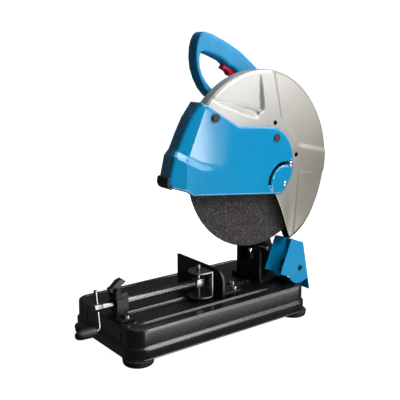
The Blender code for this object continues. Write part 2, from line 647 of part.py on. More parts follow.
# ---------------------------------------------------------------- motor
def make_motor_housing():
    tube_profile = [(-112, 46.5), (-112, 50), (-8, 50), (-8, 53), (-GAP, 53), (-GAP, 46.5)]
    vents = [vent(angle, (-24, -10), (44, 56), 3.2) for angle in range(0, 360, 30)]
    brush_holes = rod("Z", (-98.5, MOTOR[0]), 7.4, MOTOR[1] - 60, MOTOR[1] + 60)
    housing = combine(lathe(tube_profile, "X", MOTOR, 32), cuts=[joined(vents), brush_holes])
    part("motor_housing", housing, HANDLE_BLUE, "head")
    cap = [(MOTOR_END_X, 0), (MOTOR_END_X, 40), (-147, 47), (-142, 50), (-112.3, 50), (-112.3, 46.5),
           (-146, 46.5), (-146, 14.5), (-114.7, 14.5), (-114.7, 11.2), (-123, 11.2), (-123, 0)]
    slots = [vent(angle, (-155, -144), (20, 38), 4.0) for angle in range(0, 360, 45)]
    inlet = rod("Y", (-130, MOTOR[1]), 9, MOTOR[0] + 47, MOTOR[0] + 64)
    bore = rod("Y", (-130, MOTOR[1]), 4.2, MOTOR[0] + 40, MOTOR[0] + 70, 16)
    end_cap = combine(lathe(cap, "X", MOTOR, 32), [inlet], [joined(slots), bore])
    part("motor_end_cap", end_cap, PLASTIC_BLACK, "head")


def vent(angle, along, reach, width):
    """Radial box about the motor axis, used as a cutter."""
    mesh = box((along[0], reach[0], -width / 2), (along[1], reach[1], width / 2))
    mesh.transform(Matrix.Translation((0, *MOTOR)) @ Matrix.Rotation(math.radians(angle + 7), 4, "X"))
    return mesh


def make_motor_internals():
    part("stator", ring("X", MOTOR, 28.0, 46.2, -85, -28, 32), LAMINATION, "head")
    part("armature_core", ring("X", MOTOR, 6.3, 27.2, -84, -29, 36), LAMINATION, "armature_axis")
    part("commutator", ring("X", MOTOR, 6.3, 15.8, -105, -92, 24), COPPER, "armature_axis")
    hub = ring("X", MOTOR, 6.3, 40, -9, -7, 36)
    blades = [fan_blade(angle) for angle in range(0, 360, 45)]
    part("cooling_fan", combine(hub, [joined(blades)]), PLASTIC_BLACK, "armature_axis")
    for name, sign in (("brush_holder_upper", 1), ("brush_holder_lower", -1)):
        profile = [(16.4, 0), (16.4, 5.5), (44.5, 5.5), (44.5, 7.0), (52.5, 7.0), (53.5, 6), (53.5, 0)]
        points = [(MOTOR[1] + sign * a, r) for a, r in profile]
        part(name, lathe(points, "Z", (-98.5, MOTOR[0]), 20), PLASTIC_BLACK, "head")


def fan_blade(angle):
    mesh = box((-18, 14, -1), (-8, 38, 1))
    mesh.transform(Matrix.Translation((0, *MOTOR)) @ Matrix.Rotation(math.radians(angle), 4, "X"))
    return mesh


# ---------------------------------------------------------------- guards on the head
def guard_shape(radius):
    """Sector of the guard, with a round lobe about the hub."""
    return (arc(SPINDLE, radius, GUARD_START, GUARD_END, 44)
            + arc(SPINDLE, 62, GUARD_END, GUARD_START + 360, 12))


def bulge_at(angle):
    """How far the guard's lower rear stands out from its circle, at an angle about the spindle."""
    for (a, low), (b, high) in zip(GUARD_BULGE, GUARD_BULGE[1:]):
        if a <= angle <= b:
            return low + (high - low) * (angle - a) / (b - a)
    return GUARD_BULGE[0][1] if -90 < angle < GUARD_START else 0.0


def bulged(mesh):
    for vertex in mesh.vertices:
        offset = Vector((vertex.co.y, vertex.co.z)) - Vector(SPINDLE)
        if offset.length > 150:
            angle = math.degrees(math.atan2(offset.y, offset.x))
            offset *= (offset.length + bulge_at(angle)) / offset.length
            vertex.co.y, vertex.co.z = Vector(SPINDLE) + offset
    return mesh


def make_wheel_guard():
    """Deep-drawn steel guard: flat back, rolled rim and an open front about the hub."""
    rolls = ((GUARD_BACK_X, 0), (99, 0), (102.6, 1.1), (105.4, 3.6), (107.3, 7.2), (GUARD_FRONT_X, 11))
    outer = loft([[lift(p, "X", x) for p in guard_shape(GUARD_RADIUS - d)] for x, d in rolls])
    room = GUARD_RADIUS - GUARD_SHEET
    back = GUARD_BACK_X + GUARD_SHEET
    front = GUARD_FRONT_X - GUARD_SHEET
    inner = [(60, 0), (60, 46), (back, 46), (back, room), (98.6, room), (101.8, room - 1), (104.0, room - 3),
             (105.5, room - 6), (front, room - 9.5), (front, 64), (120, 64), (120, 0)]
    cavity = lathe(inner, "X", SPINDLE, 72, GUARD_START)
    screws = joined([rod("X", at, 3.3, 100, 112, 12) for at in (COVER_HINGE, lock_screw_place())])
    holes = joined([rod("X", at, 5.0, 100, 112, 16) for at in ((130, 439), (194, 367))])
    guard = combine(bulged(outer), cuts=[bulged(cavity), screws, holes])
    part("wheel_guard", guard, SILVER_PAINT, "head")


def lock_screw_place():
    return arc(COVER_HINGE, COVER_SLOT_RADIUS, COVER_SLOT_START, 0, 1)[0]


def cover_outline():
    """Side view of the cover, anticlockwise from the lower corner below the hub."""
    lobe = arc(SPINDLE, 80.5, -57, 70, 18)
    top = [(27, 439.5), (-60, 489.5)]
    front = [(-83, 461), (-99, 432), (-113, 403), (-124, 391.5), (-133.5, 353), (-136.5, 338),
             (-129, 331.5)]
    return lobe + top + front + [(-98, 321), (-84, 312)]


def make_side_cover():
    """Swing-up cover: flat side over the hub, and a box that closes the guard's front."""
    shape = cover_outline()
    steps = ((COVER_BACK_X, 0), (108, 0), (111.4, 0.9), (113.2, 2.6), (COVER_X, 5))
    outer = stepped(shape, "X", steps)
    hollow = prism(inset(shape, 2.5), "X", COVER_BACK_X + 2, COVER_X - 2.5)
    sweep = rod("X", COVER_HINGE, COVER_CLEAR_RADIUS, 60, GUARD_FRONT_X + 0.6, 96)
    window = arc_slot(COVER_HINGE, COVER_SLOT_RADIUS, 3.4, COVER_SLOT_START, COVER_SLOT_END)
    slot = prism(window, "X", 105, 120)
    hole = rod("X", COVER_HINGE, 3.3, 105, 120, 16)
    part("side_cover", combine(outer, cuts=[hollow, sweep, slot, hole]), COVER_BLUE, "cover_hinge")
    back = COVER_X + GAP
    stud = [(back, 0), (back, 8.8), (back + 1.3, 8.8), (back + 2.1, 7.6), (back + 2.1, 0)]
    for name, at in (("cover_stud_front", (-31, 458.5)), ("cover_stud_rear", (130, 408.5))):
        part(name, lathe(stud, "X", at, 20), PLASTIC_BLACK, "cover_hinge")
    lip = [(-134.4, 354), (-139.6, 353), (-141.5, 341), (-137.8, 333), (-129.6, 328.6), (-128.6, 330.5),
           (-137.1, 337.5), (-137.2, 338.6)]
    part("cover_lip", prism(lip, "X", 71.5, 107), RUBBER, "cover_hinge")


def make_cover_screws():
    places = {"cover_hinge_screw": COVER_HINGE, "cover_lock_screw": lock_screw_place()}
    for name, at in places.items():
        profile = [(103, 0), (103, 3), (108.3, 3), (108.3, 5), (111.1, 5), (111.1, 2.9), (114.4, 2.9),
                   (114.4, 5.5), (117, 5.0), (118, 3.6), (118, 0)]
        part(name, lathe(profile, "X", at, 16), CHROME, "head")


# ---------------------------------------------------------------- handle and controls
def make_handle():
    """D-shaped handle in two moulded halves, hollow for the switch and the trigger."""
    outer = [(-16, HANDLE_TOP), (-24, 614.5), (-30, 604), (-33.8, 590), (-35, 571), (-32.5, 550), (-25, 530),
             (-14.5, 512), (-2, 497), (20, 480), (58, 463), (170, 463), (168, 500), (152, 527), (127, 551),
             (83, 583), (49, 601), (11, 616.5)]
    hand = [(-22, 582.5), (-26, 571), (-25, 553), (-19, 537.5), (-10.5, 525), (2, 512), (16, 500),
            (30, 493), (58, 487), (80, 492), (88, 508), (80, 530), (64, 544), (56, 549), (46, 552), (39, 559),
            (31, 564.5), (10, 573), (-13, 581.5)]
    body = prism(outer, "X", HANDLE_FAR_X, HANDLE_NEAR_X)
    body = bevelled(combine(body, cuts=[prism(hand, "X", 10, 70)]), 6.0, 3)
    room = prism([(30.5, 549), (60, 520), (98, 545), (98, 566), (70, 572), (36, 565)], "X", 34, 50)
    button = rod("X", (78, 566), 6.4, 20, 36, 20)
    half = HANDLE_FAR_X + (HANDLE_NEAR_X - HANDLE_FAR_X) / 2
    for name, low, high in (("handle_left", half - GAP / 2, 90), ("handle_right", -20, half + GAP / 2)):
        other = box((low, -90, 400), (high, 240, 700))
        part(name, combine(body.copy(), cuts=[other, room, button]), HANDLE_BLUE, "head")


def make_controls():
    trigger = [(35, 549.5), (44, 545.5), (49, 542.5), (54, 535.5), (64, 532.5), (70, 538), (73, 552),
               (68, 561), (48, 562.5), (40, 556)]
    part("trigger", bevelled(prism(trigger, "X", 35, 49), 1.5), TRIGGER_RED, "trigger_pivot")
    part("switch", box((35.5, 76, 548), (48.5, 96, 558)), PLASTIC_BLACK, "head")
    button = [(22.5, 0), (22.5, 5.0), (23.5, 6.0), (33.2, 6.0), (33.2, 0)]
    part("lock_button", lathe(button, "X", (78, 566), 20), PLASTIC_BLACK, "lock_button_axis")
    lock = [(-9, 0), (-9, 7), (-8, 8), (0.8, 8), (0.8, 3), (27, 3), (27, 0)]
    part("spindle_lock", lathe(lock, "X", SPINDLE_LOCK, 20), PLASTIC_BLACK, "spindle_lock_axis")


def main():
    for obj in list(bpy.data.objects):
        bpy.data.objects.remove(obj)
    make_groups()
    for make in (make_base_tray, make_feet, make_pivot_bracket, make_pivot_hardware, make_vise_bracket,
                 make_bolts, make_half_nut_lever, make_fence, make_vise_screw, make_vise_jaw,
                 make_spark_guard, make_head_casting, make_gear_case_cover, make_gears, make_bearings,
                 make_spindle, make_motor_housing, make_motor_internals, make_wheel_guard,
                 make_side_cover, make_cover_screws, make_handle, make_controls):
        make()


main()
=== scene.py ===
"""Looks of the abrasive chop saw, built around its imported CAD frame.

Shapes are described in millimetres in the saw's own coordinates, whose zero is the middle of the
base on the floor: X points to the wheel side, Y to the rear and Z up.  OFFSET, read from the frame,
carries them to the frame's metres.  Lights and shader sizes are in metres.
"""
import json
import math

import bmesh
import bpy
from mathutils import Matrix, Vector, kdtree, noise
from mathutils.geometry import delaunay_2d_cdt

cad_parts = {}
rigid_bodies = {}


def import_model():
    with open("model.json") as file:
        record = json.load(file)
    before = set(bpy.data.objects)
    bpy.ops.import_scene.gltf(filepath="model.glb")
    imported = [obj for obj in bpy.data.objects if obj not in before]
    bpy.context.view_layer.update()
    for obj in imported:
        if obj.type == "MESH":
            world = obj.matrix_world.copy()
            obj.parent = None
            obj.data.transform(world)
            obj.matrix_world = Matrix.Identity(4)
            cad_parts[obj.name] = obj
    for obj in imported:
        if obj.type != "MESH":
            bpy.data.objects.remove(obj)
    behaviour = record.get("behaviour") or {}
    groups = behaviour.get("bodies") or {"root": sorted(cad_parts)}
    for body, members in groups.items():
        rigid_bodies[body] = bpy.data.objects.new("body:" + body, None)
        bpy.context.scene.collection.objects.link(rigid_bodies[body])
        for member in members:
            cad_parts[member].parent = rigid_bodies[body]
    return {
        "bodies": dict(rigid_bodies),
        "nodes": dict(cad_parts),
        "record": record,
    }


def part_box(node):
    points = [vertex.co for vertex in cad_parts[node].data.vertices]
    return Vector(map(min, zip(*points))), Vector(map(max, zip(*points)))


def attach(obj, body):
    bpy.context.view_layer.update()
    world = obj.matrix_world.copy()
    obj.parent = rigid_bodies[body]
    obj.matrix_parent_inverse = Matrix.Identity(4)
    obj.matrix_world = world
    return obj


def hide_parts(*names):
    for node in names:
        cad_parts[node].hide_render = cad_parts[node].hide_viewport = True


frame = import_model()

MM = 0.001
SHARP_ANGLE = 35.0      # degrees: an edge whose faces turn by more than this is sharp
WHEEL_MID = (82.5, 100.0, 355.0)

# Axes that run along X, as (y, z).
SPINDLE = (100.0, 355.0)
COVER_HINGE = (155.0, 310.0)
LEVER_PIVOT = (-222.0, 134.0)
SPARK_PIVOT = (215.0, 110.0)

# The vise screw's axis runs along Y, and the fence's bolts stand upright at (x, y).
VISE_X, VISE_Z = 42.0, 107.0
FENCE_BOLTS = ((54, 68), (28, 84))

OFFSET = sum(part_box("cutting_wheel"), Vector()) / 2 - Vector(WHEEL_MID) * MM
TO_FRAME = Matrix.Translation(OFFSET) @ Matrix.Scale(MM, 4)

# How an outline's (u, v) and the distance along its axis become X, Y and Z.
AXES = {
    "X": lambda u, v, along: (along, u, v),
    "Y": lambda u, v, along: (u, along, v),
    "Z": lambda u, v, along: (u, v, along),
}

RECORD = frame["record"]
BODY_OF = {node: body for body, nodes in RECORD["behaviour"]["bodies"].items() for node in nodes}
SLOT_OF = {part["node"]: part["material_slot"] for part in RECORD["subparts"]}


def remove_start_objects():
    """Clears whatever the new file held, and keeps the frame."""
    keep = set(frame["nodes"].values()) | set(frame["bodies"].values())
    for obj in [o for o in bpy.data.objects if o not in keep]:
        bpy.data.objects.remove(obj)


# ------------ node graphs
class Graph:
    """A material's node tree, with links made by passing sockets as inputs."""

    def __init__(self, name):
        self.material = bpy.data.materials.new(name)
        self.material.use_nodes = True
        self.tree = self.material.node_tree
        self.tree.nodes.clear()
        self.place = self.add("ShaderNodeTexCoord").outputs["Object"]

    def fill(self, socket, value):
        if isinstance(value, bpy.types.NodeSocket):
            self.tree.links.new(value, socket)
        else:
            socket.default_value = value

    def add(self, kind, settings=(), **inputs):
        """New node.  An input is called by its label, or by an underscore and its number."""
        node = self.tree.nodes.new(kind)
        for key, value in dict(settings).items():
            setattr(node, key, value)
        for key, value in inputs.items():
            label = int(key[1:]) if key[0] == "_" else key.replace("_", " ")
            self.fill(node.inputs[label], value)
        return node

    def noise(self, scale, detail=3.0, rough=0.5, place=None):
        return self.add("ShaderNodeTexNoise", Vector=place or self.place, Scale=scale,
                        Detail=detail, Roughness=rough).outputs["Fac"]

    def ramp(self, value, low, high, to_low=0.0, to_high=1.0):
        """Value carried from one range to another and held at the ends."""
        node = self.add("ShaderNodeMapRange", _0=value, _1=low, _2=high, _3=to_low, _4=to_high)
        return node.outputs[0]

    def mix(self, factor, a, b, blend="MIX"):
        """Colour between two, each a socket or three numbers."""
        node = self.add("ShaderNodeMix", {"data_type": "RGBA", "blend_type": blend}, _0=factor)
        for label, colour in ((6, a), (7, b)):
            linked = isinstance(colour, bpy.types.NodeSocket)
            self.fill(node.inputs[label], colour if linked else (*colour, 1.0))
        return node.outputs[2]

    def maths(self, operation, a, b=0.0):
        return self.add("ShaderNodeMath", {"operation": operation}, _0=a, _1=b).outputs[0]

    def rounded(self, radius):
        """Normal that rounds sharp edges off."""
        return self.add("ShaderNodeBevel", {"samples": 4}, Radius=radius).outputs[0]

    def edges(self, radius):
        """One on sharp edges and zero on flat faces."""
        flat = self.add("ShaderNodeNewGeometry").outputs["Normal"]
        dot = self.add("ShaderNodeVectorMath", {"operation": "DOT_PRODUCT"},
                       _0=self.rounded(radius), _1=flat)
        return self.ramp(dot.outputs["Value"], 0.995, 0.90)

    def bump(self, height, strength, distance, normal):
        return self.add("ShaderNodeBump", Height=height, Strength=strength, Distance=distance,
                        Normal=normal).outputs[0]

    def finish(self, **inputs):
        """Material whose surface has these inputs."""
        shader = self.add("ShaderNodeBsdfPrincipled", **inputs)
        output = self.add("ShaderNodeOutputMaterial")
        self.tree.links.new(shader.outputs[0], output.inputs[0])
        return self.material


# ------------ materials
PAINT_EDGE = 0.0008     # radius that shading gives to painted edges
FINE_EDGE = 0.0004      # the same for metal, grit and laminations
MOULDED_EDGE = 0.0006   # the same for plastic and rubber


def toned(colour, factor):
    return tuple(c * factor for c in colour)


def paint(name, colour, roughness, coat=0.0, peel=0.12, wear_and_highlight=None, shine=0.5):
    """Sprayed paint: soft mottling, orange peel, uneven gloss and, if an edge colour is given,
    lighter edges that are partly scuffed wear and partly a painted highlight where edges catch the
    light.
    """
    g = Graph(name)
    base = g.mix(g.ramp(g.noise(9.0, 4.0), 0.3, 0.7), toned(colour, 0.93), toned(colour, 1.06))
    if wear_and_highlight:
        # Lighter edges: partly scuffs, partly a painted highlight on the edges.
        scuff_and_highlight = g.maths("MULTIPLY", g.edges(PAINT_EDGE), g.ramp(g.noise(160.0, 4.0), 0.42, 0.62))
        base = g.mix(scuff_and_highlight, base, wear_and_highlight)
    rough = g.ramp(g.noise(42.0, 5.0, 0.62), 0.25, 0.8, roughness * 0.86, roughness * 1.2)
    normal = g.bump(g.noise(620.0, 2.0), peel, 0.00012, g.rounded(PAINT_EDGE))
    return g.finish(Base_Color=base, Roughness=rough, Normal=normal, Coat_Weight=coat,
                    Coat_Roughness=0.12, Specular_IOR_Level=shine)


def plastic(name, colour, roughness, texture=0.25, shine=0.45):
    """Moulded plastic with a fine spark-eroded texture."""
    g = Graph(name)
    base = g.mix(g.ramp(g.noise(25.0, 4.0), 0.3, 0.7), toned(colour, 0.9), toned(colour, 1.08))
    rough = g.ramp(g.noise(70.0, 4.0), 0.25, 0.8, roughness * 0.85, roughness * 1.15)
    normal = g.bump(g.noise(1500.0, 2.0), texture, 0.0001, g.rounded(MOULDED_EDGE))
    return g.finish(Base_Color=base, Roughness=rough, Normal=normal, Specular_IOR_Level=shine)


def metal(name, colour, roughness, lines="X", brushing=0.25, stretch=60.0, vary=0.35,
          round_edges=True):
    """Turned or brushed metal: faint stains, and lines across or round the named axis.

    Without rounded edges it has no brushing in relief either."""
    g = Graph(name)
    scale = [1.0, 1.0, 1.0]
    scale["XYZ".index(lines)] = stretch
    place = g.add("ShaderNodeMapping", Vector=g.place, Scale=scale).outputs[0]
    streaks = g.noise(60.0, 5.0, 0.6, place)
    base = g.mix(g.ramp(g.noise(30.0, 5.0), 0.35, 0.75), colour, toned(colour, 0.82))
    rough = g.ramp(streaks, 0.25, 0.75, roughness * (1 - vary), roughness * (1 + vary))
    if not round_edges:
        return g.finish(Base_Color=base, Roughness=rough, Metallic=1.0)
    normal = g.bump(streaks, brushing, 0.00006, g.rounded(FINE_EDGE))
    return g.finish(Base_Color=base, Roughness=rough, Metallic=1.0, Normal=normal)


def grit(name):
    """Bonded abrasive: dark resin, grains of several greys and a few bright glints."""
    g = Graph(name)
    cells = g.add("ShaderNodeTexVoronoi", Vector=g.place, Scale=460.0)
    tint = g.add("ShaderNodeSeparateColor", _0=cells.outputs["Color"]).outputs[0]
    body = g.mix(tint, (0.005, 0.0045, 0.0045), (0.098, 0.085, 0.086))
    body = g.mix(g.ramp(g.noise(55.0, 6.0, 0.7), 0.35, 0.95), body, (0.046, 0.040, 0.041))
    glint = g.ramp(tint, 0.93, 0.97)
    base = g.mix(g.maths("MULTIPLY", glint, 0.4), body, (0.3, 0.28, 0.27))
    height = g.maths("ADD", g.noise(900.0, 3.0), cells.outputs["Distance"])
    normal = g.bump(height, 0.8, 0.0005, g.rounded(FINE_EDGE))
    return g.finish(Base_Color=base, Roughness=g.ramp(glint, 0.0, 1.0, 0.9, 0.55), Normal=normal,
                    Specular_IOR_Level=0.2)


def rubber(name):
    """Matt black rubber with a greyish bloom."""
    g = Graph(name)
    bloom = g.ramp(g.noise(60.0, 5.0), 0.4, 0.75)
    base = g.mix(bloom, (0.012, 0.012, 0.012), (0.034, 0.032, 0.030))
    normal = g.bump(g.noise(1300.0, 3.0), 0.3, 0.00015, g.rounded(MOULDED_EDGE))
    rough = g.ramp(g.noise(90.0), 0.3, 0.7, 0.68, 0.85)
    return g.finish(Base_Color=base, Roughness=rough, Normal=normal)


def laminations(name):
    """Stacked steel sheets, seen edge on along the shaft."""
    g = Graph(name)
    wave = g.add("ShaderNodeTexWave", {"bands_direction": "X"}, Vector=g.place, Scale=320.0,
                 Distortion=0.3).outputs["Fac"]
    base = g.mix(wave, (0.16, 0.155, 0.15), (0.42, 0.41, 0.40))
    normal = g.bump(wave, 0.4, 0.0002, g.rounded(FINE_EDGE))
    rough = g.ramp(g.noise(80.0), 0.3, 0.7, 0.35, 0.5)
    return g.finish(Base_Color=base, Roughness=rough, Metallic=0.9, Normal=normal)


def silver(name):
    """Sprayed silver: fine flake, soft brushing and painted shade, a darker tone to the low rear
    where the light falls off.
    """
    g = Graph(name)
    axes = g.add("ShaderNodeSeparateXYZ", _0=g.place).outputs
    # Painted shade: a gradient with a little noise that darkens the colour towards the low rear,
    # where the light falls off.
    down = g.maths("SUBTRACT", g.maths("MULTIPLY", axes[1], 2.2), axes[2])
    painted_shade = g.maths("ADD", down, g.maths("MULTIPLY", g.noise(7.0, 3.0), 0.08))
    base = g.mix(g.ramp(painted_shade, -0.42, 0.28), (0.54, 0.535, 0.512), (0.335, 0.315, 0.275))
    place = g.add("ShaderNodeMapping", Vector=g.place, Scale=(1.0, 1.0, 6.0)).outputs[0]
    flake = g.noise(900.0, 2.0, 0.6, place)
    base = g.mix(g.ramp(flake, 0.35, 0.65), base, (0.9, 0.9, 0.9), "MULTIPLY")
    rough = g.ramp(g.noise(42.0, 5.0, 0.62), 0.25, 0.8, 0.34, 0.44)
    normal = g.bump(flake, 0.18, 0.00012, g.rounded(PAINT_EDGE))
    return g.finish(Base_Color=base, Roughness=rough, Metallic=0.38, Normal=normal)


def make_materials():
    """Every material by slot name, and two that only the visual pieces have."""
    black = (0.0135, 0.0125, 0.0120)
    blue = (0.0, 0.325, 0.65)
    grip = (0.010, 0.315, 0.64)
    return {
        # The tray's and the fence's edge colours below are partly wear and partly painted
        # highlight.
        "base_paint": paint("black_tray_paint", toned(black, 0.7), 0.28, coat=0.35, peel=0.05,
                            wear_and_highlight=(0.17, 0.14, 0.12)),
        "bracket_paint": paint("black_bracket_paint", toned(black, 0.6), 0.42, peel=0.06,
                               shine=0.25),
        "fence_paint": paint("black_fence_paint", toned(black, 0.8), 0.42, wear_and_highlight=(0.12, 0.10, 0.09)),
        "casting_black": paint("black_casting_paint", toned(black, 0.5), 0.5, peel=0.4, shine=0.3),
        "cover_blue": paint("blue_cover_paint", blue, 0.25, coat=1.0, peel=0.05, shine=0.1),
        "spark_guard_blue": paint("blue_guard_paint", blue, 0.4, peel=0.06, shine=0.1),
        "guard_silver": silver("silver_guard_paint"),
        "foot_rubber": rubber("black_rubber"),
        "screw_chrome": metal("polished_screw", (0.19, 0.20, 0.212), 0.26, "Y", stretch=4.0,
                              vary=0.12, round_edges=False),
        "bolt_chrome": metal("plated_bolt", (0.72, 0.72, 0.73), 0.24, "Z", brushing=0.02),
        "shaft_steel": metal("turned_steel", (0.56, 0.55, 0.53), 0.30, "X", brushing=0.3),
        "spring_steel": metal("spring_wire", (0.45, 0.44, 0.42), 0.34, "X", brushing=0.2),
        "jaw_steel": metal("zinc_plate", (0.25, 0.25, 0.245), 0.34, "Z", brushing=0.2, stretch=8.0),
        "gear_steel": metal("gear_steel", (0.42, 0.41, 0.40), 0.36, "X", brushing=0.4),
        "bearing_steel": metal("bearing_steel", (0.66, 0.66, 0.65), 0.18, "X", brushing=0.15),
        "commutator_copper": metal("turned_copper", (0.72, 0.36, 0.20), 0.28, "X", brushing=0.3),
        "lamination": laminations("lamination_stack"),
        "motor_blue": plastic("blue_motor_plastic", grip, 0.38),
        "handle_blue": plastic("blue_handle_plastic", grip, 0.42, shine=0.3),
        "black_plastic": plastic("black_plastic", (0.016, 0.016, 0.018), 0.45),
        "knob_plastic": plastic("black_knob_plastic", (0.012, 0.012, 0.013), 0.42),
        "lever_plastic": plastic("black_lever_plastic", (0.012, 0.012, 0.013), 0.42),
        "trigger_red": plastic("red_trigger_plastic", (0.66, 0.010, 0.045), 0.28, texture=0.1),
        "abrasive": grit("bonded_grit"),
        # Painted shade: black that stands in for the shadow inside the wheel guard and in the spark
        # guard's bolt hole.
        "shade_black": paint("painted_shade_black_paint", toned(black, 0.6), 0.6, shine=0.12),
        "stud_grey": plastic("grey_stud_plastic", (0.018, 0.017, 0.017), 0.55, texture=0.5),
    }


# ------------ outlines in millimetres
FILLET_STEPS = 4
SHALLOW_CORNER = 8.0    # degrees: a corner that turns by less is left as it is


def arc(centre, radius, start, end, count):
    """Points from one angle to another, both in degrees."""
    angles = [math.radians(start + (end - start) * i / count) for i in range(count + 1)]
    return [(centre[0] + radius * math.cos(a), centre[1] + radius * math.sin(a)) for a in angles]


def inset_by(outline, distances):
    """Anticlockwise outline moved inwards by each point's own distance."""
    result = []
    for i, point in enumerate(outline):
        before = Vector(point) - Vector(outline[i - 1])
        after = Vector(outline[(i + 1) % len(outline)]) - Vector(point)
        normals = [Vector((-d.y, d.x)).normalized() for d in (before, after)]
        bisector = normals[0] + normals[1]
        reach = distances[i] / max(0.35, bisector.length_squared / 2)
        result.append(tuple(Vector(point) + bisector * reach))
    return result


def inset(outline, distance):
    return inset_by(outline, [distance] * len(outline))


def filleted(outline, radius):
    """Outline with its corners cut to arcs, smaller where the sides are short."""
    result = []
    for i, point in enumerate(outline):
        corner = Vector(point)
        before = Vector(outline[i - 1]) - corner
        after = Vector(outline[(i + 1) % len(outline)]) - corner
        turn = math.pi - before.angle(after)
        if turn < math.radians(SHALLOW_CORNER):
            result.append(tuple(corner))
            continue
        reach = min(radius * math.tan(turn / 2), before.length * 0.45, after.length * 0.45)
        start = corner + before.normalized() * reach
        end = corner + after.normalized() * reach
        for k in range(FILLET_STEPS + 1):
            t = k / FILLET_STEPS
            result.append(tuple(start * (1 - t) ** 2 + corner * 2 * t * (1 - t) + end * t ** 2))
    return result


def resampled(outline, step):
    """Outline with its long sides split, so that no side is longer than the step."""
    result = []
    for i, point in enumerate(outline):
        following = Vector(outline[(i + 1) % len(outline)])
        count = max(1, math.ceil((following - Vector(point)).length / step))
        result += [tuple(Vector(point).lerp(following, k / count)) for k in range(count)]
    return result


def corners_cut(outline):
    """Outline with every corner replaced by points a quarter of the way along its sides."""
    cut = []
    for i, point in enumerate(outline):
        following = Vector(outline[(i + 1) % len(outline)])
        cut += [tuple(Vector(point).lerp(following, t)) for t in (0.25, 0.75)]
    return cut


def inside(point, outline):
    """Whether a point lies in an outline."""
    x, y = point
    found = False
    for (x0, y0), (x1, y1) in zip(outline, outline[1:] + outline[:1]):
        if (y0 > y) != (y1 > y) and x < (x1 - x0) * (y - y0) / (y1 - y0) + x0:
            found = not found
    return found


def turns_right(outline):
    """Whether an outline runs clockwise."""
    sides = zip(outline, outline[1:] + outline[:1])
    return sum(a[0] * b[1] - b[0] * a[1] for a, b in sides) < 0


def rounded_rectangle(low, high, radius, count=6):
    """Rectangle between two corners, with arcs of so many sides."""
    left, right, front, back = (low[0] + radius, high[0] - radius,
                                low[1] + radius, high[1] - radius)
    corners = (((right, back), 0), ((left, back), 90), ((left, front), 180), ((right, front), 270))
    return [p for centre, a in corners for p in arc(centre, radius, a, a + 90, count)]


def box_distance(x, y, low, high, radius):
    """Positive inside a rounded rectangle and negative outside it."""
    dx = abs(x - (low[0] + high[0]) / 2) - (high[0] - low[0]) / 2 + radius
    dy = abs(y - (low[1] + high[1]) / 2) - (high[1] - low[1]) / 2 + radius
    outside = math.hypot(max(dx, 0.0), max(dy, 0.0))
    return radius - outside - min(max(dx, dy), 0.0)


def slot_outline(centre, radius, half, start, end):
    """Curved slot of a half width along an arc, with round ends."""
    ends = [arc(centre, radius, a, a, 1)[0] for a in (start, end)]
    outer = arc(centre, radius + half, start, end, 26)
    inner = arc(centre, radius - half, end, start, 26)
    return (outer + arc(ends[1], half, end, end + 180, 8)[1:-1]
            + inner + arc(ends[0], half, start + 180, start + 360, 8)[1:-1])


def ease(value):
    """Smooth step from zero to one."""
    value = min(1.0, max(0.0, value))
    return value * value * (3 - 2 * value)


def bend(value, width):
    """Zero below nothing and the value above, with the kink rounded over a width."""
    if value <= -width:
        return 0.0
    if value >= width:
        return value
    return (value + width) ** 2 / (4 * width)


# ------------ meshes
MERGE = 0.01            # points closer than this are one, in millimetres
ON_AXIS = 1e-6
ROW_SPACING = 0.866     # rows of a triangular grid lie this far apart, in spacings


def new_object(name, data):
    obj = bpy.data.objects.new(name, data)
    bpy.context.scene.collection.objects.link(obj)
    return obj


def placed(name, bm, node_or_body, slot, replaces=(), materials=None, smooth=SHARP_ANGLE):
    """Object from a bmesh in saw millimetres, on its body, with its material and record slot."""
    bmesh.ops.recalc_face_normals(bm, faces=bm.faces)
    mesh = bpy.data.meshes.new(name)
    bm.to_mesh(mesh)
    bm.free()
    mesh.transform(TO_FRAME)
    mesh.shade_smooth()
    mesh.set_sharp_from_angle(angle=math.radians(smooth))
    obj = new_object(name, mesh)
    for key in materials or [slot]:
        mesh.materials.append(FINISHES[key])
    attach(obj, BODY_OF.get(node_or_body, node_or_body))
    if replaces:
        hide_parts(*replaces)
    return obj


def strip(bm, lower, upper, closed=True):
    """Row of four-sided faces between two rows of points."""
    count = len(lower) if closed else len(lower) - 1
    for i in range(count):
        j = (i + 1) % len(lower)
        bm.faces.new((lower[i], lower[j], upper[j], upper[i]))


def wall(bm, rings):
    """Faces through rings of points, whose rows of vertices are returned."""
    rows = [[bm.verts.new(p) for p in ring] for ring in rings]
    for lower, upper in zip(rows, rows[1:]):
        strip(bm, lower, upper)
    return rows


def prism(outline, axis, start, end):
    """Solid between two copies of an outline."""
    bm = bmesh.new()
    rows = wall(bm, [[AXES[axis](u, v, a) for u, v in outline] for a in (start, end)])
    bm.faces.new(rows[0][::-1])
    bm.faces.new(rows[-1])
    return bm


def lathe(profile, axis, centre, segments, radius_at=None):
    """Turned solid.  A profile that doesn't start on the axis closes on itself."""
    bm = bmesh.new()
    rows = []
    for along, radius in profile:
        if radius < ON_AXIS:
            rows.append([bm.verts.new(AXES[axis](*centre, along))])
            continue
        ring = []
        for k in range(segments):
            t = 2 * math.pi * k / segments
            r = radius_at(along, radius, t) if radius_at else radius
            u, v = centre[0] + r * math.cos(t), centre[1] + r * math.sin(t)
            ring.append(bm.verts.new(AXES[axis](u, v, along)))
        rows.append(ring)
    pairs = list(zip(rows, rows[1:]))
    if profile[0][1] >= ON_AXIS:
        pairs.append((rows[-1], rows[0]))
    for a, b in pairs:
        for i in range(segments):
            j = (i + 1) % segments
            if len(a) == 1:
                bm.faces.new((a[0], b[j], b[i]))
            elif len(b) == 1:
                bm.faces.new((a[i], a[j], b[0]))
            else:
                bm.faces.new((a[i], a[j], b[j], b[i]))
    return bm


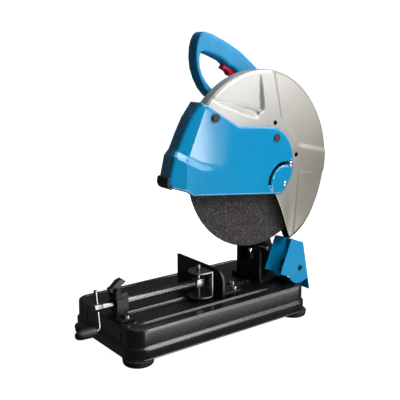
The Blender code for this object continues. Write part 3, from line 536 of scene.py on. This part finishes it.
def skin(rings, axis, height, holes=(), spacing=4.0, creases=()):
    """Sheet: walls through the rings of (u, v, along), then a panel inside the last ring.

    Height gives the panel's level.  Creases are closed outlines that its edges follow."""
    bm = bmesh.new()
    rows = wall(bm, [[AXES[axis](*p) for p in ring] for ring in rings])
    border = [(u, v) for u, v, _ in rings[-1]]
    points = [Vector(p) for p in border]
    edges = [(i, (i + 1) % len(border)) for i in range(len(border))]
    for loop in (*holes, *creases):
        first = len(points)
        points += [Vector(p) for p in loop]
        edges += [(first + i, first + (i + 1) % len(loop)) for i in range(len(loop))]
    points += grid_points(border, holes, spacing, creases)
    verts, _, faces, origins, _, _ = delaunay_2d_cdt(points, edges, [], 0, 1e-5)
    found = {}
    for i, (place, source) in enumerate(zip(verts, origins)):
        low = min(source) if source else len(border)
        if low < len(border):
            found[i] = rows[-1][low]
        else:
            found[i] = bm.verts.new(AXES[axis](place.x, place.y, height(place.x, place.y)))
    for face in faces:
        middle = sum((verts[i] for i in face), Vector((0, 0))) / len(face)
        if inside(middle, border) and not any(inside(middle, hole) for hole in holes):
            bm.faces.new([found[i] for i in face])
    bmesh.ops.dissolve_degenerate(bm, edges=bm.edges, dist=MERGE)
    loose = [v for v in bm.verts if not v.link_faces]
    bmesh.ops.delete(bm, geom=loose, context="VERTS")
    return bm


def grid_points(border, holes, spacing, creases):
    """Triangular grid inside an outline and outside its holes, clear of both and of creases."""
    core = inset(border, spacing * 0.45)
    islands = [inset(hole[::-1] if turns_right(hole) else hole, -spacing * 0.45) for hole in holes]
    xs = [p[0] for p in border]
    ys = [p[1] for p in border]
    rows = int((max(ys) - min(ys)) / (spacing * ROW_SPACING)) + 1
    columns = int((max(xs) - min(xs)) / spacing) + 2
    lines = [p for crease in creases for p in crease]
    tree = kdtree.KDTree(len(lines))
    for i, p in enumerate(lines):
        tree.insert((*p, 0.0), i)
    tree.balance()
    result = []
    for j in range(rows):
        for i in range(columns):
            p = (min(xs) + (i + 0.5 * (j % 2)) * spacing, min(ys) + j * spacing * ROW_SPACING)
            if lines and tree.find((*p, 0.0))[2] < spacing * 0.55:
                continue
            if inside(p, core) and not any(inside(p, island) for island in islands):
                result.append(Vector(p))
    return result


def face_outwards(obj, axis):
    """Turns an open sheet's faces over if its outermost face along an axis looks inwards."""
    outermost = max(obj.data.polygons, key=lambda p: p.center[axis])
    if outermost.normal[axis] < 0:
        obj.data.flip_normals()


def thickened(obj, thickness, inner_slot=None):
    """Sheet grown inwards to a thickness, with its own material inside if one is named."""
    modifier = obj.modifiers.new("sheet", "SOLIDIFY")
    modifier.thickness = thickness * MM
    modifier.offset = -1.0
    modifier.use_even_offset = False
    if inner_slot:
        obj.data.materials.append(FINISHES[inner_slot])
        modifier.material_offset = len(obj.data.materials) - 1


def bevelled(obj, width, segments=3):
    """Sharp edges rounded over a width."""
    modifier = obj.modifiers.new("edges", "BEVEL")
    modifier.width = width * MM
    modifier.segments = segments
    modifier.limit_method = "ANGLE"
    modifier.angle_limit = math.radians(SHARP_ANGLE)
    modifier.harden_normals = True


def drilled(obj, cutters):
    """Holes cut through an object by solid bmeshes, and applied to its mesh."""
    bm = bmesh.new()
    for cutter in cutters:
        bmesh.ops.recalc_face_normals(cutter, faces=cutter.faces)
        join(bm, cutter)
    mesh = bpy.data.meshes.new("cutters")
    bm.to_mesh(mesh)
    bm.free()
    mesh.transform(TO_FRAME)
    tool = new_object("cutters", mesh)
    modifier = obj.modifiers.new("holes", "BOOLEAN")
    modifier.object = tool
    modifier.operation = "DIFFERENCE"
    modifier.solver = "EXACT"
    apply_modifiers(obj)
    bpy.data.objects.remove(tool)


def join(bm, other):
    """Adds one bmesh to another and frees it."""
    mesh = bpy.data.meshes.new("joined")
    other.to_mesh(mesh)
    other.free()
    bm.from_mesh(mesh)
    bpy.data.meshes.remove(mesh)


def apply_modifiers(obj):
    graph = bpy.context.evaluated_depsgraph_get()
    mesh = bpy.data.meshes.new_from_object(obj.evaluated_get(graph))
    obj.modifiers.clear()
    obj.data = mesh


def refined(node, width, segments=2, finish=None):
    """Copy of a CAD node with its flat faces joined and its edges rounded."""
    bm = bmesh.new()
    bm.from_mesh(frame["nodes"][node].data)
    bm.transform(TO_FRAME.inverted())
    bmesh.ops.remove_doubles(bm, verts=bm.verts, dist=0.002)
    bmesh.ops.dissolve_limit(bm, angle_limit=math.radians(0.8), verts=bm.verts, edges=bm.edges)
    obj = placed(node + "_shape", bm, node, SLOT_OF[node], [node], [finish] if finish else None)
    bevelled(obj, width, segments)


# ------------ side cover
COVER_LEVEL = 114.0     # X of the plateau, and of the face below the band
COVER_SHEET = 2.2
COVER_ROLL = 4.5        # radius of the rolled edge
COVER_BACK = 108.7      # X that the edge reaches back to
FRONT_BACK = 72.0       # the same at the front wall, which is farther from the hinge than this:
FRONT_REACH = 266
BEND_LINE = (10.9, 0.16, 448.5)     # the plateau bends away ahead of this line: y, lean and z
FOLD_LINE = (-53.5, 0.42, 478.5)    # and folds again ahead of this one
LOWER_FOLD = -100.7                 # Y of the fold below the band
FOLD_LOOP = [(LOWER_FOLD, 326), (-100.3, 326), (-100.3, 376), (LOWER_FOLD, 376)]
BAND = [(-300, 478), (-126.4, 391.7), (-97.1, 376.3), (-65.6, 360.2), (-45, 356.2), (-24.7, 354.7),
        (300, 352)]     # lower edge of the sloped band, as (y, z)
BAND_HEIGHT = 14.5
BOSS_RADIUS, BOSS_HEIGHT = 39.2, 1.5
DISH_RADIUS, DISH_DEPTH = 10.5, 1.1
LOCK_SCREW = (170.94, 350.47)


def cover_outline():
    lobe = arc(SPINDLE, 80.5, -57, 70, 40)
    front = [(27, 439.5), (-60, 489.5), (-83, 461), (-99, 432), (-113, 403), (-124, 391.5),
             (-133.5, 353), (-136.5, 338), (-129, 331.5), (-98, 321), (-84, 312)]
    return resampled(filleted(lobe + front, 3.0), 4.0)


def band_height(y):
    """Height of the band's lower edge."""
    for (y0, z0), (y1, z1) in zip(BAND, BAND[1:]):
        if y <= y1:
            return z0 + (z1 - z0) * (y - y0) / (y1 - y0)
    return BAND[-1][1]


def ahead_of(line, y, z):
    """How far a point lies in front of a leaning line."""
    at, lean, height = line
    return at - lean * (height - z) - y


def cover_face(y, z):
    """Level of the cover's face: plateau and bent front above the band, proud below it."""
    upper = COVER_LEVEL - 0.058 * bend(ahead_of(BEND_LINE, y, z), 12)
    upper -= 0.2 * bend(ahead_of(FOLD_LINE, y, z), 2)
    lower = COVER_LEVEL - 0.25 * max(0.0, LOWER_FOLD - y)
    ramp = min(1.0, max(0.0, (z - band_height(y)) / BAND_HEIGHT))
    level = lower + (upper - lower) * ramp
    away = math.dist((y, z), COVER_HINGE)
    level += BOSS_HEIGHT * ease((BOSS_RADIUS - away) / 3.2)
    dish = ease((DISH_RADIUS - math.dist((y, z), LOCK_SCREW)) / 2.0)
    return level - DISH_DEPTH * dish * ease((away - 38) / 3)


def make_side_cover():
    """Pressed cover with a rolled edge, a deep front wall and the lock screw's arc slot."""
    outline = cover_outline()
    backs = [FRONT_BACK if math.dist(p, COVER_HINGE) > FRONT_REACH else COVER_BACK
             for p in outline]
    rings = [[(*p, back) for p, back in zip(outline, backs)]]
    for k in range(10):
        t = math.radians(10 * k)
        ring = []
        for p, back in zip(inset(outline, COVER_ROLL * (1 - math.cos(t))), backs):
            along = cover_face(*p) - COVER_ROLL * (1 - math.sin(t))
            ring.append((*p, max(along, back + 0.5 + 0.1 * k)))
        rings.append(ring)
    slot = slot_outline(COVER_HINGE, 43.5, 3.4, 68.5, 176.7)
    fold = resampled(FOLD_LOOP, 3.0)
    bm = skin(rings, "X", cover_face, [slot], spacing=3.2, creases=[fold])
    obj = placed("side_cover_sheet", bm, "side_cover", "cover_blue", ["side_cover"], smooth=13.0)
    face_outwards(obj, 0)
    thickened(obj, COVER_SHEET)


# ------------ wheel guard
GUARD_START, GUARD_END, GUARD_STEPS = -62.0, 160.0, 222     # angles about the spindle
GUARD_SHEET = 1.9
GUARD_LEVEL = 108.0     # X of the face's middle
FACE_RADII = [64 + 120.5 * k / 50 for k in range(51)]
FACE_EDGE = 184.5       # radius where the rolled rim begins
RIM_ROLL = 8.4
RIM_RADIUS = 192.9
BULGE_ROOT = 150        # radius from which the lower rear's bulge grows
BULGE = ((-62, 8.5), (-55, 11.5), (-48, 12.5), (-40, 11.5), (-30, 8.0), (-20, 4.0), (-10, 1.3),
         (0, 0.0))
CREASE = ((118.0, 600.0), (138.2, 495.2), (148.3, 449.6), (203.8, 386.6), (300.0, 365.0))
CREASE_STEP, PANEL_STEP = 2.2, 2.6
DRUM_LEVELS = (92, 88, 84, 80)
BACK_LEVEL = 74.5
BACK_RADII = (170, 150, 130, 110, 90, 62)
GUARD_HOLES = ((130, 439), (194, 367))

# Pressed wedges as start, end, width to the left and right of the line, and depth.
GROOVES = (((90.0, 541.0), (92.5, 464.0), 9.5, 6.0, 7.0),
           ((-36.0, 494.0), (86.0, 462.0), 7.5, 15.0, 7.0))


def groove(y, z, start, end, left, right, depth):
    """Depth of a wedge that widens and deepens from its start to its end."""
    along = Vector(end) - Vector(start)
    offset = Vector((y, z)) - Vector(start)
    t = offset.dot(along) / along.length_squared
    side = (offset.x * along.y - offset.y * along.x) / along.length
    grow = min(1.0, max(0.0, t / 0.75)) ** 0.7 * ease((1.0 - t) * along.length / 9.0 + 0.5)
    width = left if side < 0 else right
    wide = max(0.8, width * max(grow, 0.15))
    return depth * grow * ease(1.0 - abs(side) / wide)


def crease_distance(y, z):
    """How far a point lies to the rear of the crease, in millimetres."""
    sides = []
    for (y0, z0), (y1, z1) in zip(CREASE, CREASE[1:]):
        along = Vector((y1 - y0, z1 - z0))
        sides.append(((y - y0) * -along.y + (z - z0) * along.x) / along.length)
    return min(sides)


def guard_face(y, z):
    """Level of the face: domed, lower behind the crease, with a panel and grooves."""
    away = math.dist((y, z), SPINDLE)
    level = GUARD_LEVEL - 4.6 * max(0.0, (away - 78) / 113) ** 2
    behind = crease_distance(y, z)
    level -= CREASE_STEP * ease(behind / 9.0 + 0.5) + 0.03 * bend(behind, 4)
    level -= 0.035 * bend(378 - 0.2 * (y - 200) - z, 5) * ease((y - 150) / 40)
    panel = min(y - 203.5 - 0.01 * (z - 180), 327 - 0.07 * (y - 206) - z)
    level -= PANEL_STEP * ease(panel / 5.0 + 0.5)
    for item in GROOVES:
        level -= groove(y, z, *item)
    return level


def bulge_at(angle):
    """How far the guard's rim stands out near its lower end."""
    for (a0, b0), (a1, b1) in zip(BULGE, BULGE[1:]):
        if angle <= a1:
            return b0 + (b1 - b0) * max(0.0, (angle - a0) / (a1 - a0))
    return 0.0


def guard_column(angle):
    """Points across the guard at an angle: face, rolled rim, drum, back edge and back."""
    t = math.radians(angle)
    out = bulge_at(angle)

    def at(radius, along):
        radius += out * min(1.0, max(0.0, (radius - BULGE_ROOT) / (FACE_EDGE - BULGE_ROOT)))
        return (along, SPINDLE[0] + radius * math.cos(t), SPINDLE[1] + radius * math.sin(t))

    edge = guard_face(*at(FACE_EDGE, 0)[1:])
    column = [at(r, guard_face(*at(r, 0)[1:])) for r in FACE_RADII]
    for a in (math.radians(15 * k) for k in range(1, 7)):
        column.append(at(FACE_EDGE + RIM_ROLL * math.sin(a), edge - RIM_ROLL * (1 - math.cos(a))))
    column += [at(RIM_RADIUS, x) for x in DRUM_LEVELS]
    column += [at(190.0 + 2.9 * math.cos(a), 77.5 - 3 * math.sin(a))
               for a in map(math.radians, (0, 30, 60, 90))]
    return column + [at(r, BACK_LEVEL) for r in BACK_RADII]


def make_wheel_guard():
    """Deep-drawn guard with two holes and a ring round its hub; its inside is painted black as
    painted shade.
    """
    bm = bmesh.new()
    angles = [GUARD_START + (GUARD_END - GUARD_START) * i / GUARD_STEPS
              for i in range(GUARD_STEPS + 1)]
    rows = [[bm.verts.new(p) for p in guard_column(angle)] for angle in angles]
    for a, b in zip(rows, rows[1:]):
        strip(bm, a, b, closed=False)
    obj = placed("wheel_guard_sheet", bm, "wheel_guard", "guard_silver", ["wheel_guard"])
    face_outwards(obj, 0)
    # Painted shade: the inner faces are black, standing in for the shadow inside the guard.
    thickened(obj, GUARD_SHEET, "shade_black")
    hole = [(98, 0), (98, 5), (112, 5), (112, 0)]
    drilled(obj, [lathe(hole, "X", at, 24) for at in GUARD_HOLES])
    ring = [(74.6, 46.5), (74.6, 61.9), (76.4, 61.9), (76.4, 46.5)]
    placed("wheel_guard_hub_ring", lathe(ring, "X", SPINDLE, 96), "wheel_guard", "guard_silver",
           ["wheel_guard"])


# ------------ handle
HANDLE_X, HALF_WIDTH = 42.0, 13.9
SEAM_GAP = 0.15         # how far each half stays from the middle
SHOULDER_STEPS = 7
HANDLE_OUTER = [(-16, 621), (-24, 614.5), (-30, 604), (-33.8, 590), (-35, 571), (-32.5, 550),
                (-25, 530), (-14.5, 512), (-2, 497), (20, 480), (58, 463), (170, 463), (168, 500),
                (152, 527), (127, 551), (83, 583), (49, 601), (11, 616.5)]
HAND_OPENING = [(-22, 582.5), (-26, 571), (-25, 553), (-19, 537.5), (-10.5, 525), (2, 512),
                (16, 500), (30, 493), (58, 487), (80, 492), (88, 508), (80, 530), (64, 544),
                (56, 549), (46, 552), (39, 559), (31, 564.5), (10, 573), (-13, 581.5)]


def make_handle():
    outer = resampled(corners_cut(filleted(HANDLE_OUTER, 12)), 5.0)
    hand = resampled(corners_cut(filleted(HAND_OPENING, 6)), 5.0)
    for name, side in (("handle_left", -1), ("handle_right", 1)):
        bm = handle_half(outer, hand, side)
        placed(name + "_grip", bm, name, "handle_blue", [name], smooth=50.0)


def rounding_radius(y, z):
    """Broad on the grip's back, small on the front bow."""
    return 3.0 + 8.5 * ease((y + 14) / 26.0) * ease((z - 470 + 0.8 * y) / 40.0)


def finger_radius(y, z):
    """Broad under the grip, small along the rest of the hand opening."""
    return 2.4 + 6.4 * ease((z - 580 + 0.722 * (y + 20)) / 14.0)


def handle_half(outer, hand, side):
    """One moulded half: outer wall, rounded shoulder, flat side and hand opening."""
    seam = HANDLE_X + side * SEAM_GAP
    shoulders = [rounding_radius(*p) for p in outer]
    rings = [[(*p, seam) for p in inset(outer, 0.0)]]
    for k in range(SHOULDER_STEPS + 1):
        t = math.radians(90 * k / SHOULDER_STEPS)
        moved = inset_by(outer, [r * (1 - math.cos(t)) for r in shoulders])
        rings.append([(*q, HANDLE_X + side * (HALF_WIDTH - r * (1 - math.sin(t))))
                      for q, r in zip(moved, shoulders)])
    fingers = [finger_radius(*p) for p in hand]
    inner = []
    for k in range(9):
        t = math.radians(11.25 * k)
        moved = inset_by(hand, [-r * (1 - math.sin(t)) for r in fingers])
        inner.append([(*q, HANDLE_X + side * (HALF_WIDTH - r * (1 - math.cos(t))))
                      for q, r in zip(moved, fingers)])
    inner.append([(*q, seam) for q in hand])
    flat = HANDLE_X + side * HALF_WIDTH
    bm = skin(rings, "X", lambda u, v: flat, [[q[:2] for q in inner[0]]], 6.0)
    wall(bm, [[AXES["X"](*p) for p in ring] for ring in inner])
    bmesh.ops.remove_doubles(bm, verts=bm.verts, dist=MERGE)
    close_seam(bm, rings[0], inner[-1])
    return bm


def close_seam(bm, outer, inner):
    """Flat face between the outer and the inner loop at the seam."""
    level = outer[0][2]
    hole = [(u, v) for u, v, _ in inner]
    join(bm, skin([[(u, v, level) for u, v, _ in outer]], "X", lambda u, v: level, [hole], 12.0))
    bmesh.ops.remove_doubles(bm, verts=bm.verts, dist=MERGE)


# ------------ wheel and crank knob
def make_wheel():
    """Abrasive disc with a slightly ragged rim, and a steel bush."""
    def ragged(along, radius, t):
        if radius < 170:
            return radius
        wobble = noise.noise(Vector((40 * math.cos(t), 40 * math.sin(t), along)))
        return radius - 0.5 * wobble - 0.5

    face, back, bore, rim = 81.05, 83.95, 16.2, 177.2
    radii = [174, 165, 150, 130, 110, 90, 70, 52]
    profile = [(face, bore)] + [(face, r) for r in radii[::-1]]
    profile += [(face + 0.3, rim), (back - 0.3, rim)]
    profile += [(back, r) for r in radii] + [(back, bore)]
    placed("cutting_wheel_disc", lathe(profile, "X", SPINDLE, 240, ragged), "cutting_wheel",
           "abrasive", ["cutting_wheel"])
    bush = [(81.1, 12.8), (81.1, 16.0), (83.9, 16.0), (83.9, 12.8)]
    placed("cutting_wheel_bush", lathe(bush, "X", SPINDLE, 48), "cutting_wheel", "abrasive",
           ["cutting_wheel"], ["shaft_steel"])


def make_knob():
    """Crank knob with shallow grip flutes, a domed end and the bore for its pin."""
    low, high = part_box("crank_knob")
    centre = [((low[i] + high[i]) / 2 - OFFSET[i]) / MM for i in (0, 2)]
    bore = [(-300.4, 0), (-300.4, 4.3), (-270.2, 4.3)]
    grip = [(-270, 8.2), (-270.6, 9.4), (-272, 10.2), (-274, 10.4), (-278, 10.4), (-284, 10.1),
            (-290, 9.9), (-296, 9.7), (-301, 9.4), (-305, 8.6), (-308.5, 7.2), (-310.8, 5.2),
            (-311.8, 2.6), (-312, 0)]

    def fluted(along, radius, t):
        deep = 0.5 if -302 < along < -275 and radius > 9 else 0.0
        return radius - deep * max(0.0, math.cos(9 * t)) ** 6

    placed("crank_knob_grip", lathe(bore + grip, "Y", centre, 72, fluted), "crank_knob",
           "knob_plastic", ["crank_knob"], smooth=50.0)


# ------------ base tray
HALF_X, HALF_Y, TOP = 121.0, 229.25, 72.8
TRAY_SHEET = 2.2
TRACK = ((21.5, -194), (87.5, 142), 8)      # sunk track: two corners and the corner radius
TRACK_DEPTH = 5.0
BEAD_HEIGHT, BEAD_WIDTH = 1.1, 1.2
RIM = ((-HALF_X + 9, -HALF_Y + 9), (HALF_X - 9, HALF_Y - 9), 24)
RIM_STEP = 1.1
PANEL = ((-62, 41), (62, 64), 5)            # pressed into the front and the rear
DIMPLE = ((72, 42), (84, 63), 5.9)          # beside the panel, on both sides

# The wall from its lower lip up, as (z, how far it stands out from the top's outline).
SKIRT = [(12.7, 4.6), (13.2, 5.0), (14.0, 5.0), (14.8, 4.3), (16, 4.2), (24, 4.3), (32.2, 4.5),
         (33.6, 4.3), (34.6, 3.7), (35.6, 2.7), (36.9, 1.4), (37.8, 0.7), (38.8, 0.45)]
SKIRT += [(40 + 1.1 * k, 0.4 - 0.016 * k) for k in range(25)]
SKIRT += [(68.4, -0.1), (70.3, -0.2), (71.5, -0.6), (72.3, -1.3), (72.7, -2.2), (TOP, -3.4)]


def tray_top(x, y):
    """Level of the top: the sunk track, the bead round it and a step inside the rim."""
    side = box_distance(x, y, *TRACK)
    bead = max(0.0, 1 - abs(side + BEAD_WIDTH) / BEAD_WIDTH)
    level = TOP - TRACK_DEPTH * ease(side / 1.6) + BEAD_HEIGHT * bead
    step = ease(box_distance(x, y, *RIM) / 1.4) * ease(-side / 1.4 - 3.0)
    return level - RIM_STEP * step


def wall_relief(x, y, z):
    """How deep the front and rear walls are pressed in: panels with dimples beside them."""
    if abs(y) <= HALF_Y - 12:
        return 0.0
    panel = ease(box_distance(x, z, *PANEL) / 1.3 + 0.5)
    dimple = ease(box_distance(abs(x), z, *DIMPLE) / 1.3 + 0.5)
    return 1.7 * panel + 1.9 * dimple


def make_tray():
    """Pressed tray with the wheel's slot, the bolt holes and the spark guard's ears."""
    low, high = (-HALF_X, -HALF_Y), (HALF_X, HALF_Y)
    outline = resampled(rounded_rectangle(low, high, 32.5, 12), 2.5)
    rings = []
    for z, out in SKIRT:
        ring = inset(outline, -out)
        moved = inset_by(ring, [wall_relief(x, y, z) for x, y in ring])
        rings.append([(*p, z) for p in moved])
    slot = rounded_rectangle((77, -125), (87.4, 95), 4.5)
    holes = [slot] + [arc(at, 4.6, 0, 360, 20)[:-1] for at in FENCE_BOLTS]
    track = resampled(rounded_rectangle(*TRACK, 10), 4.0)
    rim = resampled(rounded_rectangle(*RIM, 10), 4.0)
    creases = [inset(track, out) for out in (1.6, 0.0, -1.2, -2.4, -4.2, -5.6)]
    creases += [rim, inset(rim, 1.4)]
    bm = skin(rings, "Z", tray_top, holes, spacing=4.2, creases=creases)
    obj = placed("base_tray_pressing", bm, "base_tray", "base_paint", ["base_tray"])
    face_outwards(obj, 2)
    thickened(obj, TRAY_SHEET)
    make_tray_ears()


def make_tray_ears():
    y, z = SPARK_PIVOT
    ear = [(y - 12, 66), (y + 7, 66)] + arc((y, z), 9.0, -10, 90, 8)
    ear += arc((y - 2.5, z), 9.5, 90, 180, 8)
    for number, x in enumerate((59.2, 102.0), 1):
        obj = placed(f"base_tray_ear_{number}", prism(ear, "X", x, x + 3.8), "base_tray",
                     "base_paint", ["base_tray"])
        hole = [(x - 1, 0), (x - 1, 4.3), (x + 5, 4.3), (x + 5, 0)]
        drilled(obj, [lathe(hole, "X", SPARK_PIVOT, 32)])
        bevelled(obj, 0.6)


# ------------ vise screw, bolts and bracket
CRANK_TILT = 8.4        # degrees that the crank leans from upright at rest
SMALL_HEAD, LARGE_HEAD = (6.4, 3.0, 5.0), (7.4, 4.0, 5.5)   # corner radius, shank and height
FLAT_REACH = 0.866      # how far a hexagon's flats reach, as a share of its corners
BOLT_HEADS = {"vise_bracket_bolt_1": SMALL_HEAD, "vise_bracket_bolt_2": SMALL_HEAD,
              "fence_pivot_bolt": LARGE_HEAD, "fence_lock_bolt": LARGE_HEAD}


def make_screw():
    """Polished bar with its crank hub, drilled across for the crank."""
    profile = [(-271, 0), (-271, 6.0), (-270.4, 7.0), (-268.6, 8.5), (-252.4, 8.5), (-251.6, 8.1),
               (-250.8, 8.0), (-31.4, 8.0), (-30.6, 7.5), (-30.4, 5.2), (-29.8, 5.0), (-15.8, 5.0),
               (-15, 4.4), (-15, 0)]
    obj = placed("vise_screw_bar", lathe(profile, "Y", (VISE_X, VISE_Z), 64), "vise_screw",
                 "screw_chrome", ["vise_screw"])
    across = lathe([(-14, 0), (-14, 4.0), (14, 4.0), (14, 0)], "Z", (0, 0), 28)
    lean = Matrix.Rotation(-math.radians(CRANK_TILT), 4, "Y")
    across.transform(Matrix.Translation((VISE_X, -261, VISE_Z)) @ lean)
    drilled(obj, [across])


def make_bolt(node, reach, shank, height):
    """Bolt with a plated hexagon head, domed on top, on a round collar."""
    low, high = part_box(node)
    middle = (low + high) / 2 - OFFSET
    base, top = (corner.z / MM - OFFSET.z / MM for corner in (low, high))
    seat = top - height
    collar = seat + 1.3

    def hexed(along, radius, t):
        if along < collar or radius < reach * 0.75:
            return radius
        flat = reach * FLAT_REACH / math.cos((t % (math.pi / 3)) - math.pi / 6)
        return min(radius, flat)

    profile = [(base, 0), (base, shank), (seat, shank), (seat, reach), (seat + 0.9, reach),
               (collar, reach * 0.97), (top - 1.6, reach * 0.97), (top - 0.8, reach * 0.88),
               (top - 0.3, reach * 0.7), (top, reach * 0.4), (top, 0)]
    bm = lathe(profile, "Z", (middle.x / MM, middle.y / MM), 72, hexed)
    placed(node + "_head", bm, node, SLOT_OF[node], [node])


def make_bracket():
    """Nut housing on a pedestal and a bolted foot, with the release lever's two ears."""
    foot = rounded_rectangle((14, -228), (67.5, -190), 5, 5)
    waist = rounded_rectangle((32, -226), (52, -200), 3, 4)
    body = [(28, 92), (57, 92), (57, 120), (52, 128), (33, 128), (28, 120)]
    ear = [(-228, 118), (-210, 118)] + arc(LEVER_PIVOT, 5.5, -10, 190, 12)
    bore = [(-240, 0), (-240, 8.15), (-190, 8.15), (-190, 0)]
    slot = [(34.2, 125), (50.8, 125), (50.8, 150), (34.2, 150)]
    openings = [lathe(bore, "Y", (VISE_X, VISE_Z), 40), prism(slot, "Y", -232, -196)]
    # name, solid, what is cut out of it and the width of its rounded edges
    pieces = (("foot", prism(foot, "Z", 73.0, 79.0), [], 1.2),
              ("waist", prism(waist, "Z", 77, 94), [], 0.0),
              ("body", prism(body, "Y", -226, -200), openings, 1.3),
              ("ear_left", prism(ear, "X", 28, 34), [], 0.9),
              ("ear_right", prism(ear, "X", 51, 57), [], 0.9))
    for name, bm, cutters, width in pieces:
        obj = placed("vise_bracket_" + name, bm, "vise_bracket", "bracket_paint", ["vise_bracket"])
        if cutters:
            drilled(obj, cutters)
        if width:
            bevelled(obj, width)


# ------------ CAD nodes carried over
EDGE_WIDTHS = {
    "foot_front_left": 1.2, "foot_front_right": 1.2, "foot_rear_left": 1.2, "foot_rear_right": 1.2,
    "pivot_bracket": 1.2, "fence": 0.8, "half_nut_lever": 1.4, "jaw_pin_block": 0.6,
    "vise_jaw": 0.8, "spark_guard": 0.7, "depth_stop_bolt": 0.3,
    "trigger": 0.8, "lock_button": 0.6, "spindle_lock": 0.8, "cover_lip": 1.2,
    "outer_flange": 0.5, "inner_flange": 0.4, "wheel_bolt": 0.5, "head_casting": 2.0,
    "gear_case_cover": 1.4, "motor_housing": 0.9, "motor_end_cap": 1.2, "pivot_shaft": 0.6,
    "lock_pin": 0.5, "brush_holder_upper": 0.5, "brush_holder_lower": 0.5,
    "cover_hinge_screw": 0.4, "cover_lock_screw": 0.4,
}


def make_refined():
    for node, width in EDGE_WIDTHS.items():
        refined(node, width)
    for node in ("cover_stud_front", "cover_stud_rear"):
        refined(node, 0.6, 3, finish="stud_grey")
    # Painted shade: the spark guard's bolt is black, standing in for the dark hole it sits in.
    refined("spark_guard_bolt", 0.5, finish="shade_black")


def finish_cad_nodes():
    for name, obj in frame["nodes"].items():
        obj.data.materials.clear()
        obj.data.materials.append(FINISHES[SLOT_OF[name]])


# ------------ camera, light and floor
LENS, SENSOR = 61.78, 36.0
CAMERA_PLACE = (1138.69, -851.75, 587.74)
CAMERA_TARGET = (8.25, 10.73, 274.46)
FLOOR_RADIUS = 6.0
ROOM_LIGHT, BACKDROP = 0.07, 1.05       # how bright the world is to the saw and to the camera
MIDDLE = (0.03, 0.03, 0.33)

# Name, place, target, size, radiance and the rays that don't see it; cards show as reflections.
SOFT_BOXES = (
    ("key", (1.6, 0.75, 1.7), MIDDLE, (1.5, 1.3), 7.0, None),
    ("top", (0.5, 1.35, 2.05), MIDDLE, (1.5, 1.0), 5.0, None),
    ("bounce", (0.95, 0.35, 0.004), (0.95, 0.35, 1.0), (1.3, 1.6), 0.8, "glossy"),
    ("plateau_card", (1.60, 0.66, 0.10), (0.1, -0.04, 0.45), (0.34, 0.62), 12.0, "diffuse"),
    ("band_card", (1.13, 1.17, 0.74), (0.1, -0.06, 0.38), (0.8, 0.6), 4.0, "diffuse"),
    ("sky_card", (0.05, -0.1, 2.3), (0.05, 0.0, 0.3), (1.1, 1.1), 2.6, "diffuse"),
    ("near_card", (0.46, 0.2, 0.006), (0.46, 0.2, 1.0), (0.4, 0.75), 4.5, "diffuse"),
    ("rear_fill", (-1.9, 0.9, 1.3), MIDDLE, (1.4, 1.2), 2.2, "glossy"),
)


def aim(obj, place, target):
    """Places a camera or a light and turns its front to a target."""
    obj.location = place
    obj.rotation_euler = (Vector(target) - Vector(place)).to_track_quat("-Z", "Y").to_euler()


def make_camera():
    data = bpy.data.cameras.new("camera")
    data.lens = LENS
    data.sensor_width = SENSOR
    obj = new_object("camera", data)
    aim(obj, *(OFFSET + Vector(point) * MM for point in (CAMERA_PLACE, CAMERA_TARGET)))
    bpy.context.scene.camera = obj


def soft_box(name, place, target, size, radiance, unseen_by):
    """Area light that no camera sees.  Its power follows from its radiance."""
    data = bpy.data.lights.new(name, "AREA")
    data.shape = "RECTANGLE"
    data.size, data.size_y = size
    data.energy = radiance * math.pi * size[0] * size[1]
    obj = new_object(name, data)
    aim(obj, place, target)
    obj.visible_camera = False
    if unseen_by:
        setattr(obj, "visible_" + unseen_by, False)


def make_floor():
    """Pale round floor that neither lights the saw nor shows in it."""
    mesh = bpy.data.meshes.new("studio_floor")
    ring = arc((0.0, 0.0), FLOOR_RADIUS, 0, 360, 64)[:-1]
    mesh.from_pydata([(x, y, 0.0) for x, y in ring], [], [range(len(ring))])
    floor = new_object("studio_floor", mesh)
    floor.visible_diffuse = False
    floor.visible_glossy = False
    g = Graph("pale_floor")
    base = g.mix(g.ramp(g.noise(3.0, 4.0), 0.3, 0.7), (0.36, 0.36, 0.36), (0.38, 0.38, 0.38))
    away = g.add("ShaderNodeVectorMath", {"operation": "LENGTH"}, _0=g.place).outputs["Value"]
    glow = g.ramp(away, 0.3, 0.8, 0.98, 1.04)
    mesh.materials.append(g.finish(Base_Color=base, Roughness=0.85, Specular_IOR_Level=0.0,
                                   Emission_Color=(1.0, 1.0, 1.0, 1.0), Emission_Strength=glow))


def make_world():
    """World that is white to the camera and dim to everything else."""
    world = bpy.data.worlds.new("studio_world")
    bpy.context.scene.world = world
    world.use_nodes = True
    tree = world.node_tree
    background = tree.nodes["Background"]
    background.inputs[0].default_value = (1.0, 1.0, 1.0, 1.0)
    seen = tree.nodes.new("ShaderNodeLightPath")
    level = tree.nodes.new("ShaderNodeMapRange")
    tree.links.new(seen.outputs["Is Camera Ray"], level.inputs[0])
    level.inputs[3].default_value = ROOM_LIGHT
    level.inputs[4].default_value = BACKDROP
    tree.links.new(level.outputs[0], background.inputs[1])


def main():
    finish_cad_nodes()
    make_side_cover()
    make_wheel_guard()
    make_handle()
    make_wheel()
    make_knob()
    make_tray()
    make_screw()
    for node, sizes in BOLT_HEADS.items():
        make_bolt(node, *sizes)
    make_bracket()
    make_refined()
    make_camera()
    make_floor()
    for box in SOFT_BOXES:
        soft_box(*box)
    make_world()
    bpy.context.scene.view_settings.view_transform = "Standard"


remove_start_objects()
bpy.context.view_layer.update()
FINISHES = make_materials()
main()
